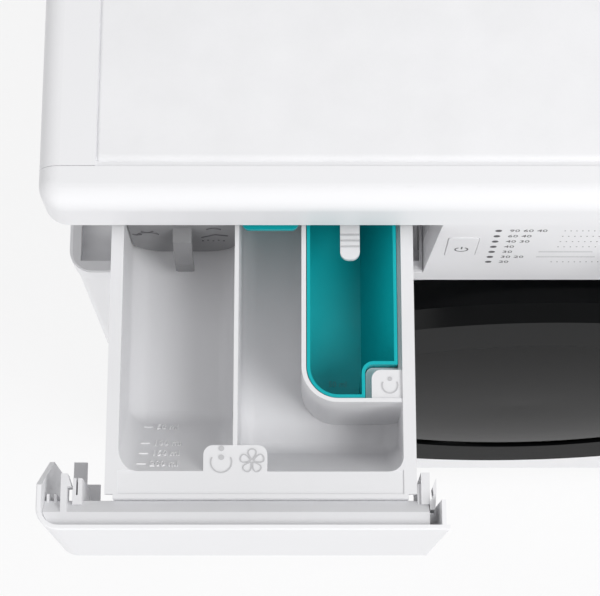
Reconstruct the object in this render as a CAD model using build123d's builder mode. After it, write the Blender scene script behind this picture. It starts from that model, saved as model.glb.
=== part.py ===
import os
from math import cos, radians, sin, sqrt

from build123d import *

os.makedirs("parts", exist_ok=True)

# Whole machine, millimetres: X across, Y to the back, Z up from the floor
machine_width = 600
machine_depth = 545
machine_height = 850
floor_gap = 15
sheet = 1.0
fit_gap = 0.3
pin_fit = 0.05

front_y = -machine_depth / 2
back_y = machine_depth / 2

# Cabinet and front
worktop_height = 35
worktop_overhang = 4
side_inset = 2
fascia_height = 121
panel_recess = 8
panel_return = 10
panel_corner = 5
flange_width = 16

cabinet_half = machine_width / 2 - side_inset
cabinet_bottom = floor_gap
cabinet_top = machine_height - worktop_height
fascia_y = front_y + worktop_overhang
fascia_bottom = cabinet_top - fascia_height
panel_y = fascia_y + panel_recess
cabinet_front = panel_y + panel_return
panel_top = fascia_bottom - fit_gap

# Side cheeks of the fascia and of the drawer front
cheek_top_depth = 23
cheek_depth = 45
cheek_knee_z = cabinet_top - 52
notch_gap = 1.5
fascia_half = machine_width / 2 - 1
strip_height = 15.7
strip_top = fascia_bottom + strip_height

# Drum axis and the round parts on it
door_radius = 240
door_top_gap = 9
axis_z = fascia_bottom - door_top_gap - door_radius
drum_radius = 240
drum_length = 300
drum_behind_panel = 75.5
drum_front_y = panel_y + drum_behind_panel
drum_mouth_radius = 165
tub_gap = 17
tub_wall = 4
tub_radius = drum_radius + sheet + tub_gap + tub_wall
tub_inner = tub_radius - tub_wall
tub_front_y = drum_front_y - 15
tub_front_wall = 5
tub_split_y = tub_front_y + 180
drum_back_y = drum_front_y + drum_length
tub_back_y = drum_back_y + 35
tub_back_wall = 10
tub_flange = 10
tub_neck_radius = 172
tub_neck_y = tub_front_y - 15

# Drive
shaft_radius = 15
shaft_end_radius = 12.5
front_bearing_radius = 31
front_bearing_y = tub_back_y - 14
front_bearing_width = 16
rear_bearing_radius = 26
rear_bearing_y = tub_back_y + 16
rear_bearing_width = 15
shaft_step_y = rear_bearing_y - 2
hub_radius = 46
hub_back_y = rear_bearing_y + rear_bearing_width + 3
pulley_radius = 140
pulley_y = hub_back_y + 12
pulley_width = 20
shaft_end_y = pulley_y + pulley_width + 8
motor_pulley_radius = 11
motor_drop = 78
motor_x = 50
motor_z = axis_z - tub_radius - motor_drop
motor_radius = 58
motor_length = 150
motor_back_y = pulley_y - 26
motor_front_y = motor_back_y - motor_length
belt_width = 14
belt_thickness = 4

# Door
port_radius = 200
port_lip_radius = 170
port_depth = 14
door_back_y = panel_y - 1
door_front_y = door_back_y - 29
door_lens_radius = 170
hinge_x = -door_radius - 10
hinge_y = panel_y - 14.5
hinge_pin_radius = 3
hinge_knuckle_radius = 7

# Detergent drawer, drawn out as it is used
drawer_pull = 170
drawer_face = fascia_y - drawer_pull
drawer_side_gap = 35
drawer_left = -fascia_half + drawer_side_gap
drawer_width = 165.3
drawer_height = 78
drawer_rail = 4.4
drawer_wall = 2.4
drawer_rim_z = cabinet_top - 10
drawer_rail_thickness = 3
drawer_bottom_z = drawer_rim_z - drawer_height
drawer_body_d = 17.7
drawer_length = 232
drawer_front_top = cabinet_top - 2
drawer_front_bottom = strip_top + 2.9
drawer_right = drawer_left + drawer_width

# Feet
foot_x = machine_width / 2 - 60
foot_y = machine_depth / 2 - 67.5
foot_pad_radius = 22
foot_pad_height = 12
foot_stud_radius = 5
foot_stud_top = 50


# Sketch plane facing the front: sketch x is X, sketch y is Z, extrudes towards -Y
def front_view(y):
    return Plane.XZ.offset(-y)


# Sketch plane facing the left side: sketch x is Y, sketch y is Z, extrudes towards +X
def side_view(x):
    return Plane(origin=(x, 0, 0), x_dir=(0, 1, 0), z_dir=(1, 0, 0))


axle = Axis((0, 0, axis_z), (0, 1, 0))
axle_plane = Plane(origin=(0, 0, axis_z), x_dir=(0, 1, 0), z_dir=(1, 0, 0))


# Rectangular block between two corners
def block(x0, x1, y0, y1, z0, z1, mode=Mode.ADD):
    with Locations(((x0 + x1) / 2, (y0 + y1) / 2, (z0 + z1) / 2)):
        Box(x1 - x0, y1 - y0, z1 - z0, mode=mode)


# Round bar along Y between two depths
def bar_y(x, z, radius, y0, y1, mode=Mode.ADD):
    with BuildSketch(front_view(y1)) as disc:
        with Locations((x, z)):
            Circle(radius)
    extrude(disc.sketch, amount=y1 - y0, mode=mode)


# Round bar along Z between two heights
def bar_z(x, y, radius, z0, z1, mode=Mode.ADD):
    with Locations((x, y, (z0 + z1) / 2)):
        Cylinder(radius, z1 - z0, mode=mode)


# Corner of a sketch that lies at a point of its plan
def corner_at(sketch, point):
    return sketch.vertices().sort_by_distance(point)[0]


# Round bar along X between two sides
def bar_x(y, z, radius, x0, x1, mode=Mode.ADD):
    with BuildSketch(side_view(x0)) as disc:
        with Locations((y, z)):
            Circle(radius)
    extrude(disc.sketch, amount=x1 - x0, mode=mode)


# Body turned about the drum axis from (depth, radius) points
def turned(points, mode=Mode.ADD):
    with BuildSketch(axle_plane) as profile:
        with BuildLine():
            Polyline(*points, close=True)
        make_face()
    revolve(profile.sketch, axis=axle, mode=mode)


# Prism with an outline in the side view, between two sides
def side_prism(points, x0, x1, mode=Mode.ADD):
    with BuildSketch(side_view(x0)) as profile:
        with BuildLine():
            Polyline(*points, close=True)
        make_face()
    extrude(profile.sketch, amount=x1 - x0, mode=mode)


# Prism with an outline in the front view, between two depths
def front_prism(points, y0, y1, mode=Mode.ADD):
    with BuildSketch(front_view(y1)) as profile:
        with BuildLine():
            Polyline(*points, close=True)
        make_face()
    extrude(profile.sketch, amount=y1 - y0, mode=mode)


# Depth inside the drawer, measured back from its front face
def in_drawer(d):
    return drawer_face + d


# Side outline of a cheek: short at the top, slanting to its full depth
def cheek_outline(face, bottom, grow=0.0):
    return [
        (face, bottom - grow),
        (face + cheek_depth + grow, bottom - grow),
        (face + cheek_depth + grow, cheek_knee_z + grow / 2),
        (face + cheek_top_depth + grow, cabinet_top + grow),
        (face, cabinet_top + grow),
    ]


# Steel wrap of two sides and back
access_half = 150
access_bottom = 190
access_top = 620
access_corner = 30
inlet_x = drawer_left + 83
inlet_z = cabinet_top - 15
nipple_radius = 13.2
drain_radius = 12
drain_x = cabinet_half - drain_radius - 10
drain_z = cabinet_top - 255
gland_x = 200
gland_z = cabinet_top - 115
gland_radius = 9
transit_half = 190
transit_top = 640
transit_bottom = 170
transit_hole_radius = 8
spring_x = cabinet_half - 36
spring_y = tub_split_y + 60
hanger_z = cabinet_top - 33
hanger_thickness = 3
hanger_width = 30
hanger_reach = 52
spring_rod_radius = 2.5

with BuildPart() as cabinet_shell:
    block(-cabinet_half, cabinet_half, cabinet_front, back_y, cabinet_bottom, cabinet_top)
    fillet(cabinet_shell.edges().filter_by(Axis.Z).group_by(Axis.Y)[-1], radius=4)
    block(-cabinet_half + sheet, cabinet_half - sheet, cabinet_front + sheet, back_y - sheet,
          cabinet_bottom + sheet, cabinet_top - sheet, Mode.SUBTRACT)
    # Front, top and bottom openings leave folded flanges
    block(-cabinet_half + flange_width, cabinet_half - flange_width, cabinet_front - 1, cabinet_front + 2,
          cabinet_bottom + sheet, fascia_bottom, Mode.SUBTRACT)
    block(-cabinet_half + sheet, cabinet_half - sheet, cabinet_front - 1, cabinet_front + 2,
          fascia_bottom - 1, cabinet_top, Mode.SUBTRACT)
    block(-cabinet_half + flange_width, cabinet_half - flange_width, cabinet_front - 1,
          back_y - flange_width, cabinet_top - 2, cabinet_top + 1, Mode.SUBTRACT)
    block(-cabinet_half + flange_width, cabinet_half - flange_width, cabinet_front + flange_width,
          back_y - flange_width, cabinet_bottom - 1, cabinet_bottom + 2, Mode.SUBTRACT)
    # Side notches that the cheeks close
    side_prism(cheek_outline(cabinet_front - panel_return - panel_recess, fascia_bottom, notch_gap),
               -cabinet_half - 1, cabinet_half + 1, Mode.SUBTRACT)
    # Access opening and service holes in the back wall
    with BuildSketch(front_view(back_y + 1)):
        with Locations((0, (access_bottom + access_top) / 2)):
            RectangleRounded(2 * access_half, access_top - access_bottom, access_corner)
        with Locations((inlet_x, inlet_z)):
            Circle(nipple_radius + fit_gap)
        with Locations((drain_x, drain_z)):
            Circle(drain_radius + fit_gap)
        with Locations((gland_x, gland_z)):
            Circle(gland_radius + fit_gap)
        with Locations((-transit_half, transit_top), (transit_half, transit_top),
                       (-transit_half, transit_bottom), (transit_half, transit_bottom)):
            Circle(transit_hole_radius)
    extrude(amount=3, mode=Mode.SUBTRACT)
    # Brackets that carry the tub springs
    for side in (-1, 1):
        wall_x = side * (cabinet_half - sheet)
        inner_x = wall_x - side * hanger_reach
        block(min(wall_x, inner_x), max(wall_x, inner_x), spring_y - hanger_width / 2,
              spring_y + hanger_width / 2, hanger_z, hanger_z + hanger_thickness)
        bar_z(side * spring_x, spring_y, spring_rod_radius + fit_gap, hanger_z - 1,
              hanger_z + hanger_thickness + 1, Mode.SUBTRACT)
cabinet_shell.part.label = "cabinet_shell"
export_step(cabinet_shell.part, "parts/cabinet_shell.step")

# Removable sheet over the access opening
cover_margin = 22
with BuildPart() as rear_access_panel:
    with BuildSketch(front_view(back_y + sheet)):
        with Locations((0, (access_bottom + access_top) / 2)):
            RectangleRounded(2 * (access_half + cover_margin), access_top - access_bottom + 2 * cover_margin,
                             access_corner + cover_margin / 2)
    extrude(amount=sheet)
    with BuildSketch(front_view(back_y + sheet + 4)):
        with Locations((0, (access_bottom + access_top) / 2)):
            RectangleRounded(2 * access_half - 60, access_top - access_bottom - 60, access_corner)
            RectangleRounded(2 * access_half - 64, access_top - access_bottom - 64, access_corner - 2,
                             mode=Mode.SUBTRACT)
    extrude(amount=4)
    with BuildSketch(front_view(back_y + sheet + 4)):
        with Locations((0, (access_bottom + access_top) / 2)):
            RectangleRounded(2 * access_half - 62, access_top - access_bottom - 62, access_corner - 1)
    extrude(amount=sheet)
rear_access_panel.part.label = "rear_access_panel"
export_step(rear_access_panel.part, "parts/rear_access_panel.step")

# Painted front sheet with the round port and the service opening
service_x = 190
service_z = 85
service_width = 124
service_height = 92
service_corner = 2
service_pin_radius = 2
service_pin_y = panel_y + 3.5
service_pin_z = service_z - service_height / 2 + 5
lock_x = door_radius - 22
lock_slot_width = 17
lock_slot_height = 22

with BuildPart() as front_panel:
    block(-cabinet_half, cabinet_half, panel_y, cabinet_front, cabinet_bottom, panel_top)
    block(-cabinet_half + sheet, cabinet_half - sheet, panel_y + sheet, cabinet_front + 1,
          cabinet_bottom + sheet, panel_top - sheet, Mode.SUBTRACT)
    # The inner corner is rounded first, so that the sheet stays as thick around the bend
    fillet(front_panel.edges().filter_by(Axis.Z).group_by(Axis.Y)[1], radius=panel_corner - sheet)
    fillet(front_panel.edges().filter_by(Axis.Z).group_by(Axis.Y)[0], radius=panel_corner)
    bar_y(0, axis_z, port_radius, panel_y - 1, panel_y + 3, Mode.SUBTRACT)
    turned([
        (panel_y, port_radius - 0.6),
        (panel_y, port_radius + 1),
        (panel_y + sheet, port_radius + 1),
        (panel_y + port_depth + sheet, port_radius - 17),
        (panel_y + port_depth + sheet, port_lip_radius),
        (panel_y + port_depth, port_lip_radius),
        (panel_y + port_depth, port_radius - 18),
    ])
    block(lock_x - lock_slot_width / 2, lock_x + lock_slot_width / 2, panel_y - 1, panel_y + 3,
          axis_z - lock_slot_height / 2, axis_z + lock_slot_height / 2, Mode.SUBTRACT)
    with BuildSketch(front_view(panel_y + 3)):
        with Locations((service_x, service_z)):
            RectangleRounded(service_width, service_height, service_corner)
    extrude(amount=4, mode=Mode.SUBTRACT)
    # Lugs for the pivots of the service flap
    for side in (-1, 1):
        lug_x = service_x + side * (service_width / 2 + 4)
        block(lug_x - 3, lug_x + 3, panel_y + sheet, panel_y + 7, service_pin_z - 4, service_pin_z + 4)
        bar_x(service_pin_y, service_pin_z, service_pin_radius + pin_fit, lug_x - 4, lug_x + 4, Mode.SUBTRACT)
front_panel.part.label = "front_panel"
export_step(front_panel.part, "parts/front_panel.step")

# Base tray with foot bosses and damper seats
tray_floor = 4
tray_rim = 30
tray_wall = 3
foot_boss_radius = 14
foot_boss_top = 42
damper_x = 175
damper_y = tub_split_y + 80
damper_seat_z = 36
damper_radius = 17
tray_z = cabinet_bottom + sheet
pump_radius = 34
pump_length = 118.5
pump_front_y = panel_y + 12
pump_back_y = pump_front_y + pump_length
saddle_half = 24
saddle_front_y = pump_back_y - 60
saddle_length = 30
with BuildPart() as base_tray:
    tray_half = cabinet_half - sheet - 1
    tray_front = cabinet_front + sheet + 1
    tray_back = back_y - sheet - 1
    block(-tray_half, tray_half, tray_front, tray_back, tray_z, tray_z + tray_rim)
    block(-tray_half + tray_wall, tray_half - tray_wall, tray_front + tray_wall, tray_back - tray_wall,
          tray_z + tray_floor, tray_z + tray_rim + 1, Mode.SUBTRACT)
    for sx in (-1, 1):
        for sy in (-1, 1):
            bar_z(sx * foot_x, sy * foot_y, foot_boss_radius, tray_z + tray_floor, foot_boss_top)
            bar_z(sx * foot_x, sy * foot_y, foot_stud_radius + pin_fit, tray_z - 1, foot_boss_top + 1,
                  Mode.SUBTRACT)
        bar_z(sx * damper_x, damper_y, damper_radius + 6, tray_z + tray_floor, damper_seat_z)
    # Low saddle under the drain pump
    block(service_x - saddle_half, service_x + saddle_half, saddle_front_y, saddle_front_y + saddle_length,
          tray_z + tray_floor, service_z - pump_radius + 2)
    bar_y(service_x, service_z, pump_radius + fit_gap, saddle_front_y - 1, saddle_front_y + saddle_length + 1,
          Mode.SUBTRACT)
base_tray.part.label = "base_tray"
export_step(base_tray.part, "parts/base_tray.step")


# One levelling foot: rubber pad on a threaded stud
def levelling_foot(x, y):
    bar_z(x, y, foot_pad_radius, 0, foot_pad_height)
    bar_z(x, y, foot_stud_radius, foot_pad_height - 1, foot_stud_top)


foot_edge_radius = 3
with BuildPart() as front_left_foot:
    levelling_foot(-foot_x, -foot_y)
    fillet(front_left_foot.edges().filter_by(GeomType.CIRCLE).group_by(SortBy.RADIUS)[-1].sort_by(Axis.Z)[-1],
           radius=foot_edge_radius)
front_left_foot.part.label = "front_left_foot"
export_step(front_left_foot.part, "parts/front_left_foot.step")

with BuildPart() as front_right_foot:
    levelling_foot(foot_x, -foot_y)
    right_rims = front_right_foot.edges().filter_by(GeomType.CIRCLE).group_by(SortBy.RADIUS)[-1]
    fillet(right_rims.sort_by(Axis.Z)[-1], radius=foot_edge_radius)
front_right_foot.part.label = "front_right_foot"
export_step(front_right_foot.part, "parts/front_right_foot.step")

with BuildPart() as rear_feet:
    for side in (-1, 1):
        levelling_foot(side * foot_x, foot_y)
    fillet(rear_feet.edges().filter_by(GeomType.CIRCLE).group_by(SortBy.RADIUS)[-1].sort_by(Axis.Z)[-2:],
           radius=foot_edge_radius)
rear_feet.part.label = "rear_feet"
export_step(rear_feet.part, "parts/rear_feet.step")

# Worktop: rounded outline split into a rear frame, a front trim and an inset plate
worktop_corner = 14
worktop_edge = 12
trim_depth = 22
seam = 0.3
rail_width = 31
plate_thickness = 12
plate_drop = 0.4
rail_wall = 12
ledge_thickness = 3
ledge_width = 12
trim_wall = 3
worktop_half = machine_width / 2
seam_y = front_y + trim_depth
plate_half = worktop_half - rail_width
plate_back = back_y - rail_width
plate_under = machine_height - plate_drop - plate_thickness

with BuildPart() as worktop_outline:
    block(-worktop_half, worktop_half, front_y, back_y, cabinet_top, machine_height)
    fillet(worktop_outline.edges().filter_by(Axis.Z), radius=worktop_corner)
    fillet(worktop_outline.edges().group_by(Axis.Z)[-1], radius=worktop_edge)

with BuildPart() as worktop_frame:
    add(worktop_outline.part)
    block(-worktop_half - 1, worktop_half + 1, front_y - 1, seam_y, cabinet_top - 1, machine_height + 1,
          Mode.SUBTRACT)
    # Pocket for the plate, and the open middle below its ledge
    block(-plate_half, plate_half, seam_y - 1, plate_back, plate_under, machine_height + 1, Mode.SUBTRACT)
    block(-plate_half + ledge_width, plate_half - ledge_width, seam_y + ledge_width + 8,
          plate_back - ledge_width, cabinet_top - 1, machine_height, Mode.SUBTRACT)
    block(-worktop_half + rail_wall, worktop_half - rail_wall, seam_y + 20, back_y - rail_wall,
          cabinet_top - 1, plate_under - ledge_thickness, Mode.SUBTRACT)
    block(-worktop_half + rail_wall, worktop_half - rail_wall, seam_y - 1, seam_y + 21,
          cabinet_top - 1, plate_under - 14, Mode.SUBTRACT)
worktop_frame.part.label = "worktop_frame"
export_step(worktop_frame.part, "parts/worktop_frame.step")

with BuildPart() as worktop_front_trim:
    add(worktop_outline.part)
    block(-worktop_half - 1, worktop_half + 1, seam_y - seam, back_y + 1, cabinet_top - 1, machine_height + 1,
          Mode.SUBTRACT)
    block(-worktop_half + worktop_corner, worktop_half - worktop_corner, front_y + trim_wall, seam_y,
          cabinet_top - 1, machine_height - 5, Mode.SUBTRACT)
worktop_front_trim.part.label = "worktop_front_trim"
export_step(worktop_front_trim.part, "parts/worktop_front_trim.step")

plate_side_edge = 2
plate_front_edge = 6
with BuildPart() as worktop_plate:
    block(-plate_half + seam, plate_half - seam, seam_y + seam, plate_back - seam,
          plate_under, plate_under + plate_thickness)
    fillet(worktop_plate.edges().group_by(Axis.Z)[-1].group_by(Axis.Y)[0], radius=plate_front_edge)
    fillet(worktop_plate.edges().group_by(Axis.Z)[-1], radius=plate_side_edge)
worktop_plate.part.label = "worktop_plate"
export_step(worktop_plate.part, "parts/worktop_plate.step")

# Control fascia: hollow front moulding with the drawer opening at the left
fascia_wall = 2.5
opening_low_x = drawer_right + 11.7
opening_top_x = opening_low_x + 6
fascia_corner = 14
key_x = opening_top_x + 13
key_z = cabinet_top - 53
knob_x = key_x + 113
knob_z = cabinet_top - 58
knob_shaft_radius = 5
window_x = knob_x + 133
window_z = knob_z
window_width = 112
window_height = 44
key_width = 18
key_height = 36
key_top_radius = 3

with BuildPart() as control_fascia:
    block(-fascia_half, fascia_half, fascia_y, fascia_y + cheek_depth, fascia_bottom, cabinet_top)
    fillet(control_fascia.edges().filter_by(Axis.Z).group_by(Axis.Y)[0], radius=fascia_corner)
    # Hollow inside, open at the back; only the cheeks reach past the cabinet's front edge
    with BuildSketch(Plane.XY.offset(fascia_bottom + fascia_wall)) as hollow:
        with Locations((0, fascia_y + fascia_wall + cheek_depth / 2)):
            Rectangle(2 * (fascia_half - fascia_wall), cheek_depth)
        fillet(hollow.vertices().group_by(Axis.Y)[0], radius=fascia_corner - fascia_wall)
    extrude(amount=fascia_height - 2 * fascia_wall, mode=Mode.SUBTRACT)
    block(-fascia_half + fascia_wall, fascia_half - fascia_wall, cabinet_front, fascia_y + cheek_depth + 1,
          fascia_bottom - 1, cabinet_top + 1, Mode.SUBTRACT)
    side_prism([
        (fascia_y + cheek_top_depth, cabinet_top + 1),
        (fascia_y + cheek_top_depth, cabinet_top),
        (fascia_y + cheek_depth, cheek_knee_z),
        (fascia_y + cheek_depth + 1, cheek_knee_z),
        (fascia_y + cheek_depth + 1, cabinet_top + 1),
    ], -fascia_half - 1, fascia_half + 1, Mode.SUBTRACT)
    # Drawer opening, with a wall along its slanted right edge
    front_prism([
        (-fascia_half - 1, strip_top),
        (opening_low_x, strip_top),
        (opening_top_x, cabinet_top + 1),
        (-fascia_half - 1, cabinet_top + 1),
    ], fascia_y - 1, fascia_y + cheek_depth + 1, Mode.SUBTRACT)
    front_prism([
        (opening_low_x, fascia_bottom),
        (opening_low_x + fascia_wall, fascia_bottom),
        (opening_low_x + fascia_wall, strip_top),
        (opening_top_x + fascia_wall, cabinet_top),
        (opening_top_x, cabinet_top),
        (opening_low_x, strip_top),
    ], fascia_y, cabinet_front)
    # Holes for the selector, the display and the power key
    bar_y(knob_x, knob_z, knob_shaft_radius + pin_fit, fascia_y - 1, fascia_y + 4, Mode.SUBTRACT)
    with BuildSketch(front_view(fascia_y + 4)):
        with Locations((window_x, window_z)):
            RectangleRounded(window_width, window_height, 5)
        with Locations((key_x, key_z)):
            RectangleRounded(key_width, key_height, key_top_radius)
    extrude(amount=6, mode=Mode.SUBTRACT)
control_fascia.part.label = "control_fascia"
export_step(control_fascia.part, "parts/control_fascia.step")

with BuildPart() as display_window:
    with BuildSketch(front_view(fascia_y + fascia_wall)):
        with Locations((window_x, window_z)):
            RectangleRounded(window_width - 2 * fit_gap, window_height - 2 * fit_gap, 5)
    extrude(amount=fascia_wall + 0.4)
display_window.part.label = "display_window"
export_step(display_window.part, "parts/display_window.step")

# Electronics carrier behind the fascia
board_thickness = 3
board_left = key_x + 8
board_y = cabinet_front - 5
switch_face = fascia_y + fascia_wall + 4.5
with BuildPart() as control_board:
    block(board_left, fascia_half - fascia_wall - 0.4, board_y, board_y + board_thickness,
          fascia_bottom + fascia_wall + 0.4, cabinet_top - fascia_wall - 0.4)
    # Switch bodies behind the selector, the display and the power key
    block(knob_x - 14, knob_x + 14, switch_face, board_y, knob_z - 14, knob_z + 14)
    block(window_x - 50, window_x + 50, fascia_y + fascia_wall + 2, board_y, window_z - 18, window_z + 18)
    block(key_x - 7, board_left + 10, switch_face + 1.5, board_y + board_thickness, key_z - 9, key_z + 9)
control_board.part.label = "control_board"
export_step(control_board.part, "parts/control_board.step")

# Programme selector
knob_radius = 23
knob_height = 19
with BuildPart() as programme_knob:
    bar_y(knob_x, knob_z, knob_radius, fascia_y - knob_height, fascia_y - fit_gap)
    fillet(programme_knob.edges().filter_by(GeomType.CIRCLE).group_by(Axis.Y)[0], radius=2.5)
    # Finger grip: two scoops leave a bar across the cap
    for side in (-1, 1):
        bar_y(knob_x + side * (knob_radius + 13), knob_z, knob_radius + 3, fascia_y - knob_height - 1,
              fascia_y - 7, Mode.SUBTRACT)
    bar_y(knob_x, knob_z, knob_shaft_radius, fascia_y - 1, switch_face - 0.2)
programme_knob.part.label = "programme_knob"
export_step(programme_knob.part, "parts/programme_knob.step")

# Power key, flush in its hole
key_travel = 1.5
with BuildPart() as power_key:
    with BuildSketch(front_view(fascia_y + fascia_wall + 1)):
        with Locations((key_x, key_z)):
            RectangleRounded(key_width - 2 * fit_gap, key_height - 2 * fit_gap, key_top_radius)
    extrude(amount=fascia_wall + 1.4)
    fillet(power_key.edges().group_by(Axis.Y)[0], radius=0.4)
    bar_y(key_x, key_z, 4, fascia_y + fascia_wall, switch_face + 1.5 - key_travel - 0.5)
power_key.part.label = "power_key"
export_step(power_key.part, "parts/power_key.step")

# Grey surround of the drawer opening: ledge, scooped trough and back frame
surround_left = -fascia_half + 2
surround_right = opening_low_x - fit_gap
ledge_z = drawer_front_bottom - 0.6
surround_plate = ledge_z - strip_top - fit_gap / 3
frame_front = fascia_y + cheek_depth + 5
frame_back = frame_front + 3
trough_radius = 14
trough_y = fascia_y + 20
trough_lift = 4
floor_left = surround_left + 3.5
floor_front = fascia_y + 4
floor_low = fascia_bottom + fascia_wall + fit_gap
trough_end = 1.5
frame_right = opening_top_x + 2
passage_left = drawer_left - 1
passage_right = drawer_right + 1
passage_low = drawer_bottom_z - 5
cover_z = drawer_rim_z + 2.5
surround_top = cover_z + 4
edge_slope = (opening_top_x - opening_low_x) / (cabinet_top + 1 - strip_top)
wall_top_x = opening_low_x + edge_slope * (surround_top - strip_top)
with BuildPart() as drawer_surround:
    # Ledge on top of the fascia strip
    with BuildSketch(Plane.XY.offset(strip_top + fit_gap / 3)) as ledge:
        with Locations(((surround_left + surround_right) / 2, (fascia_y + 0.4 + frame_front) / 2)):
            Rectangle(surround_right - surround_left, frame_front - fascia_y - 0.4)
        fillet(ledge.vertices().group_by(Axis.Y)[0].sort_by(Axis.X)[0], radius=fascia_corner - 2)
    extrude(amount=surround_plate)
    # Solid floor under the ledge, scooped out as a trough
    with BuildSketch(Plane.XY.offset(floor_low)) as trough_floor:
        with Locations(((floor_left + surround_right - 2) / 2, (floor_front + frame_front) / 2)):
            Rectangle(surround_right - 2 - floor_left, frame_front - floor_front)
        fillet(corner_at(trough_floor, (floor_left, floor_front)), radius=fascia_corner - 5.5)
    extrude(amount=ledge_z - floor_low)
    bar_x(trough_y, ledge_z + trough_lift, trough_radius, floor_left + trough_end, passage_left + 14,
          Mode.SUBTRACT)
    bar_x(trough_y, ledge_z + trough_lift, trough_radius, passage_right - 14, surround_right - 2,
          Mode.SUBTRACT)
    # Back frame with the passage for the drawer
    block(surround_left + 1, frame_right, frame_front, frame_back, floor_low, surround_top)
    # Right wall that carries on the slanted edge of the fascia's opening
    front_prism([
        (opening_low_x, floor_low),
        (opening_low_x + fascia_wall, floor_low),
        (opening_low_x + fascia_wall, strip_top),
        (wall_top_x + fascia_wall, surround_top),
        (wall_top_x, surround_top),
        (opening_low_x, strip_top),
    ], cabinet_front + fit_gap, frame_back)
    block(passage_left, passage_right, frame_front - 1, frame_back + 1, passage_low, cover_z, Mode.SUBTRACT)
drawer_surround.part.label = "drawer_surround"
export_step(drawer_surround.part, "parts/drawer_surround.step")

# Dispenser housing behind the surround
housing_wall = 2.5
housing_back = fascia_y + drawer_body_d + drawer_length + 8
outlet_x = drawer_left + 84
outlet_y = tub_split_y - 40
outlet_radius = 18
outlet_low = passage_low - 22
rail_clear = 0.5
with BuildPart() as dispenser_housing:
    cavity_left = drawer_left - rail_clear
    cavity_right = drawer_right + rail_clear
    block(cavity_left - housing_wall, cavity_right + housing_wall, frame_back, housing_back + housing_wall,
          passage_low - housing_wall, cover_z)
    block(cavity_left, cavity_right, frame_back - 1, housing_back, passage_low, cover_z + 1, Mode.SUBTRACT)
    # Ledges that carry the drawer rails
    rail_low = drawer_rim_z - drawer_rail_thickness - fit_gap
    for edge, side in ((cavity_left, 1), (cavity_right, -1)):
        ledge_in = edge + side * (drawer_rail + rail_clear - 0.7)
        block(min(edge, ledge_in), max(edge, ledge_in), frame_back, housing_back, rail_low - 5, rail_low)
    # Outlet spigot to the tub
    bar_z(outlet_x, outlet_y, outlet_radius, outlet_low, passage_low - housing_wall)
    bar_z(outlet_x, outlet_y, outlet_radius - 2, outlet_low - 1, passage_low + 1, Mode.SUBTRACT)
dispenser_housing.part.label = "dispenser_housing"
export_step(dispenser_housing.part, "parts/dispenser_housing.step")

# Water distributor lid with the inlet spigot at its back
cover_thickness = 4
hose_radius = 8
manifold_back = housing_back + housing_wall + 18
with BuildPart() as dispenser_cover:
    block(cavity_left - housing_wall, cavity_right + housing_wall, frame_back, housing_back + housing_wall,
          cover_z, cover_z + cover_thickness)
    block(inlet_x - 19, inlet_x + 19, housing_back + housing_wall, manifold_back,
          inlet_z - 14, cover_z + cover_thickness)
    bar_y(inlet_x, inlet_z, hose_radius, manifold_back - 1, manifold_back + 20)
    bar_y(inlet_x, inlet_z, hose_radius - 2, manifold_back - 10, manifold_back + 21, Mode.SUBTRACT)
    # Raised water channels on top
    for lane in (-50, 0, 50):
        block(inlet_x + lane - 7, inlet_x + lane + 7, frame_back + 20, housing_back - 20,
              cover_z + cover_thickness, cover_z + cover_thickness + 5)
dispenser_cover.part.label = "dispenser_cover"
export_step(dispenser_cover.part, "parts/dispenser_cover.step")

# Inlet valve: threaded nipple through the back wall, solenoid block inside
valve_depth = 36
with BuildPart() as inlet_valve:
    block(inlet_x - 18, inlet_x + 18, back_y - sheet - valve_depth, back_y - sheet,
          inlet_z - 46, inlet_z + 13)
    bar_y(inlet_x, inlet_z, nipple_radius - 0.6, back_y - sheet - 1, back_y + 3)
    bar_y(inlet_x, inlet_z, nipple_radius, back_y + 2, back_y + 18)
    bar_y(inlet_x, inlet_z, nipple_radius - 3, back_y - 12, back_y + 19, Mode.SUBTRACT)
    bar_y(inlet_x, inlet_z, hose_radius, back_y - sheet - valve_depth - 18, back_y - sheet - valve_depth + 1)
    bar_y(inlet_x, inlet_z, hose_radius - 2, back_y - sheet - valve_depth - 19,
          back_y - sheet - valve_depth + 8, Mode.SUBTRACT)
inlet_valve.part.label = "inlet_valve"
export_step(inlet_valve.part, "parts/inlet_valve.step")

hose_wall = 3
with BuildPart() as inlet_hose:
    hose_front = manifold_back + fit_gap
    hose_back = back_y - sheet - valve_depth - fit_gap
    bar_y(inlet_x, inlet_z, hose_radius + fit_gap + hose_wall, hose_front, hose_back)
    bar_y(inlet_x, inlet_z, hose_radius + fit_gap, hose_front - 1, hose_back + 1, Mode.SUBTRACT)
inlet_hose.part.label = "inlet_hose"
export_step(inlet_hose.part, "parts/inlet_hose.step")

# Cord gland in the back wall
gland_bore = 4
with BuildPart() as cable_gland:
    bar_y(gland_x, gland_z, gland_radius, back_y - 8, back_y + 10)
    bar_y(gland_x, gland_z, gland_radius + 4, back_y, back_y + 4)
    bar_y(gland_x, gland_z, gland_radius + 4, back_y - 6, back_y - sheet)
    bar_y(gland_x, gland_z, gland_bore, back_y - 9, back_y + 11, Mode.SUBTRACT)
cable_gland.part.label = "cable_gland"
export_step(cable_gland.part, "parts/cable_gland.step")

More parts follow.
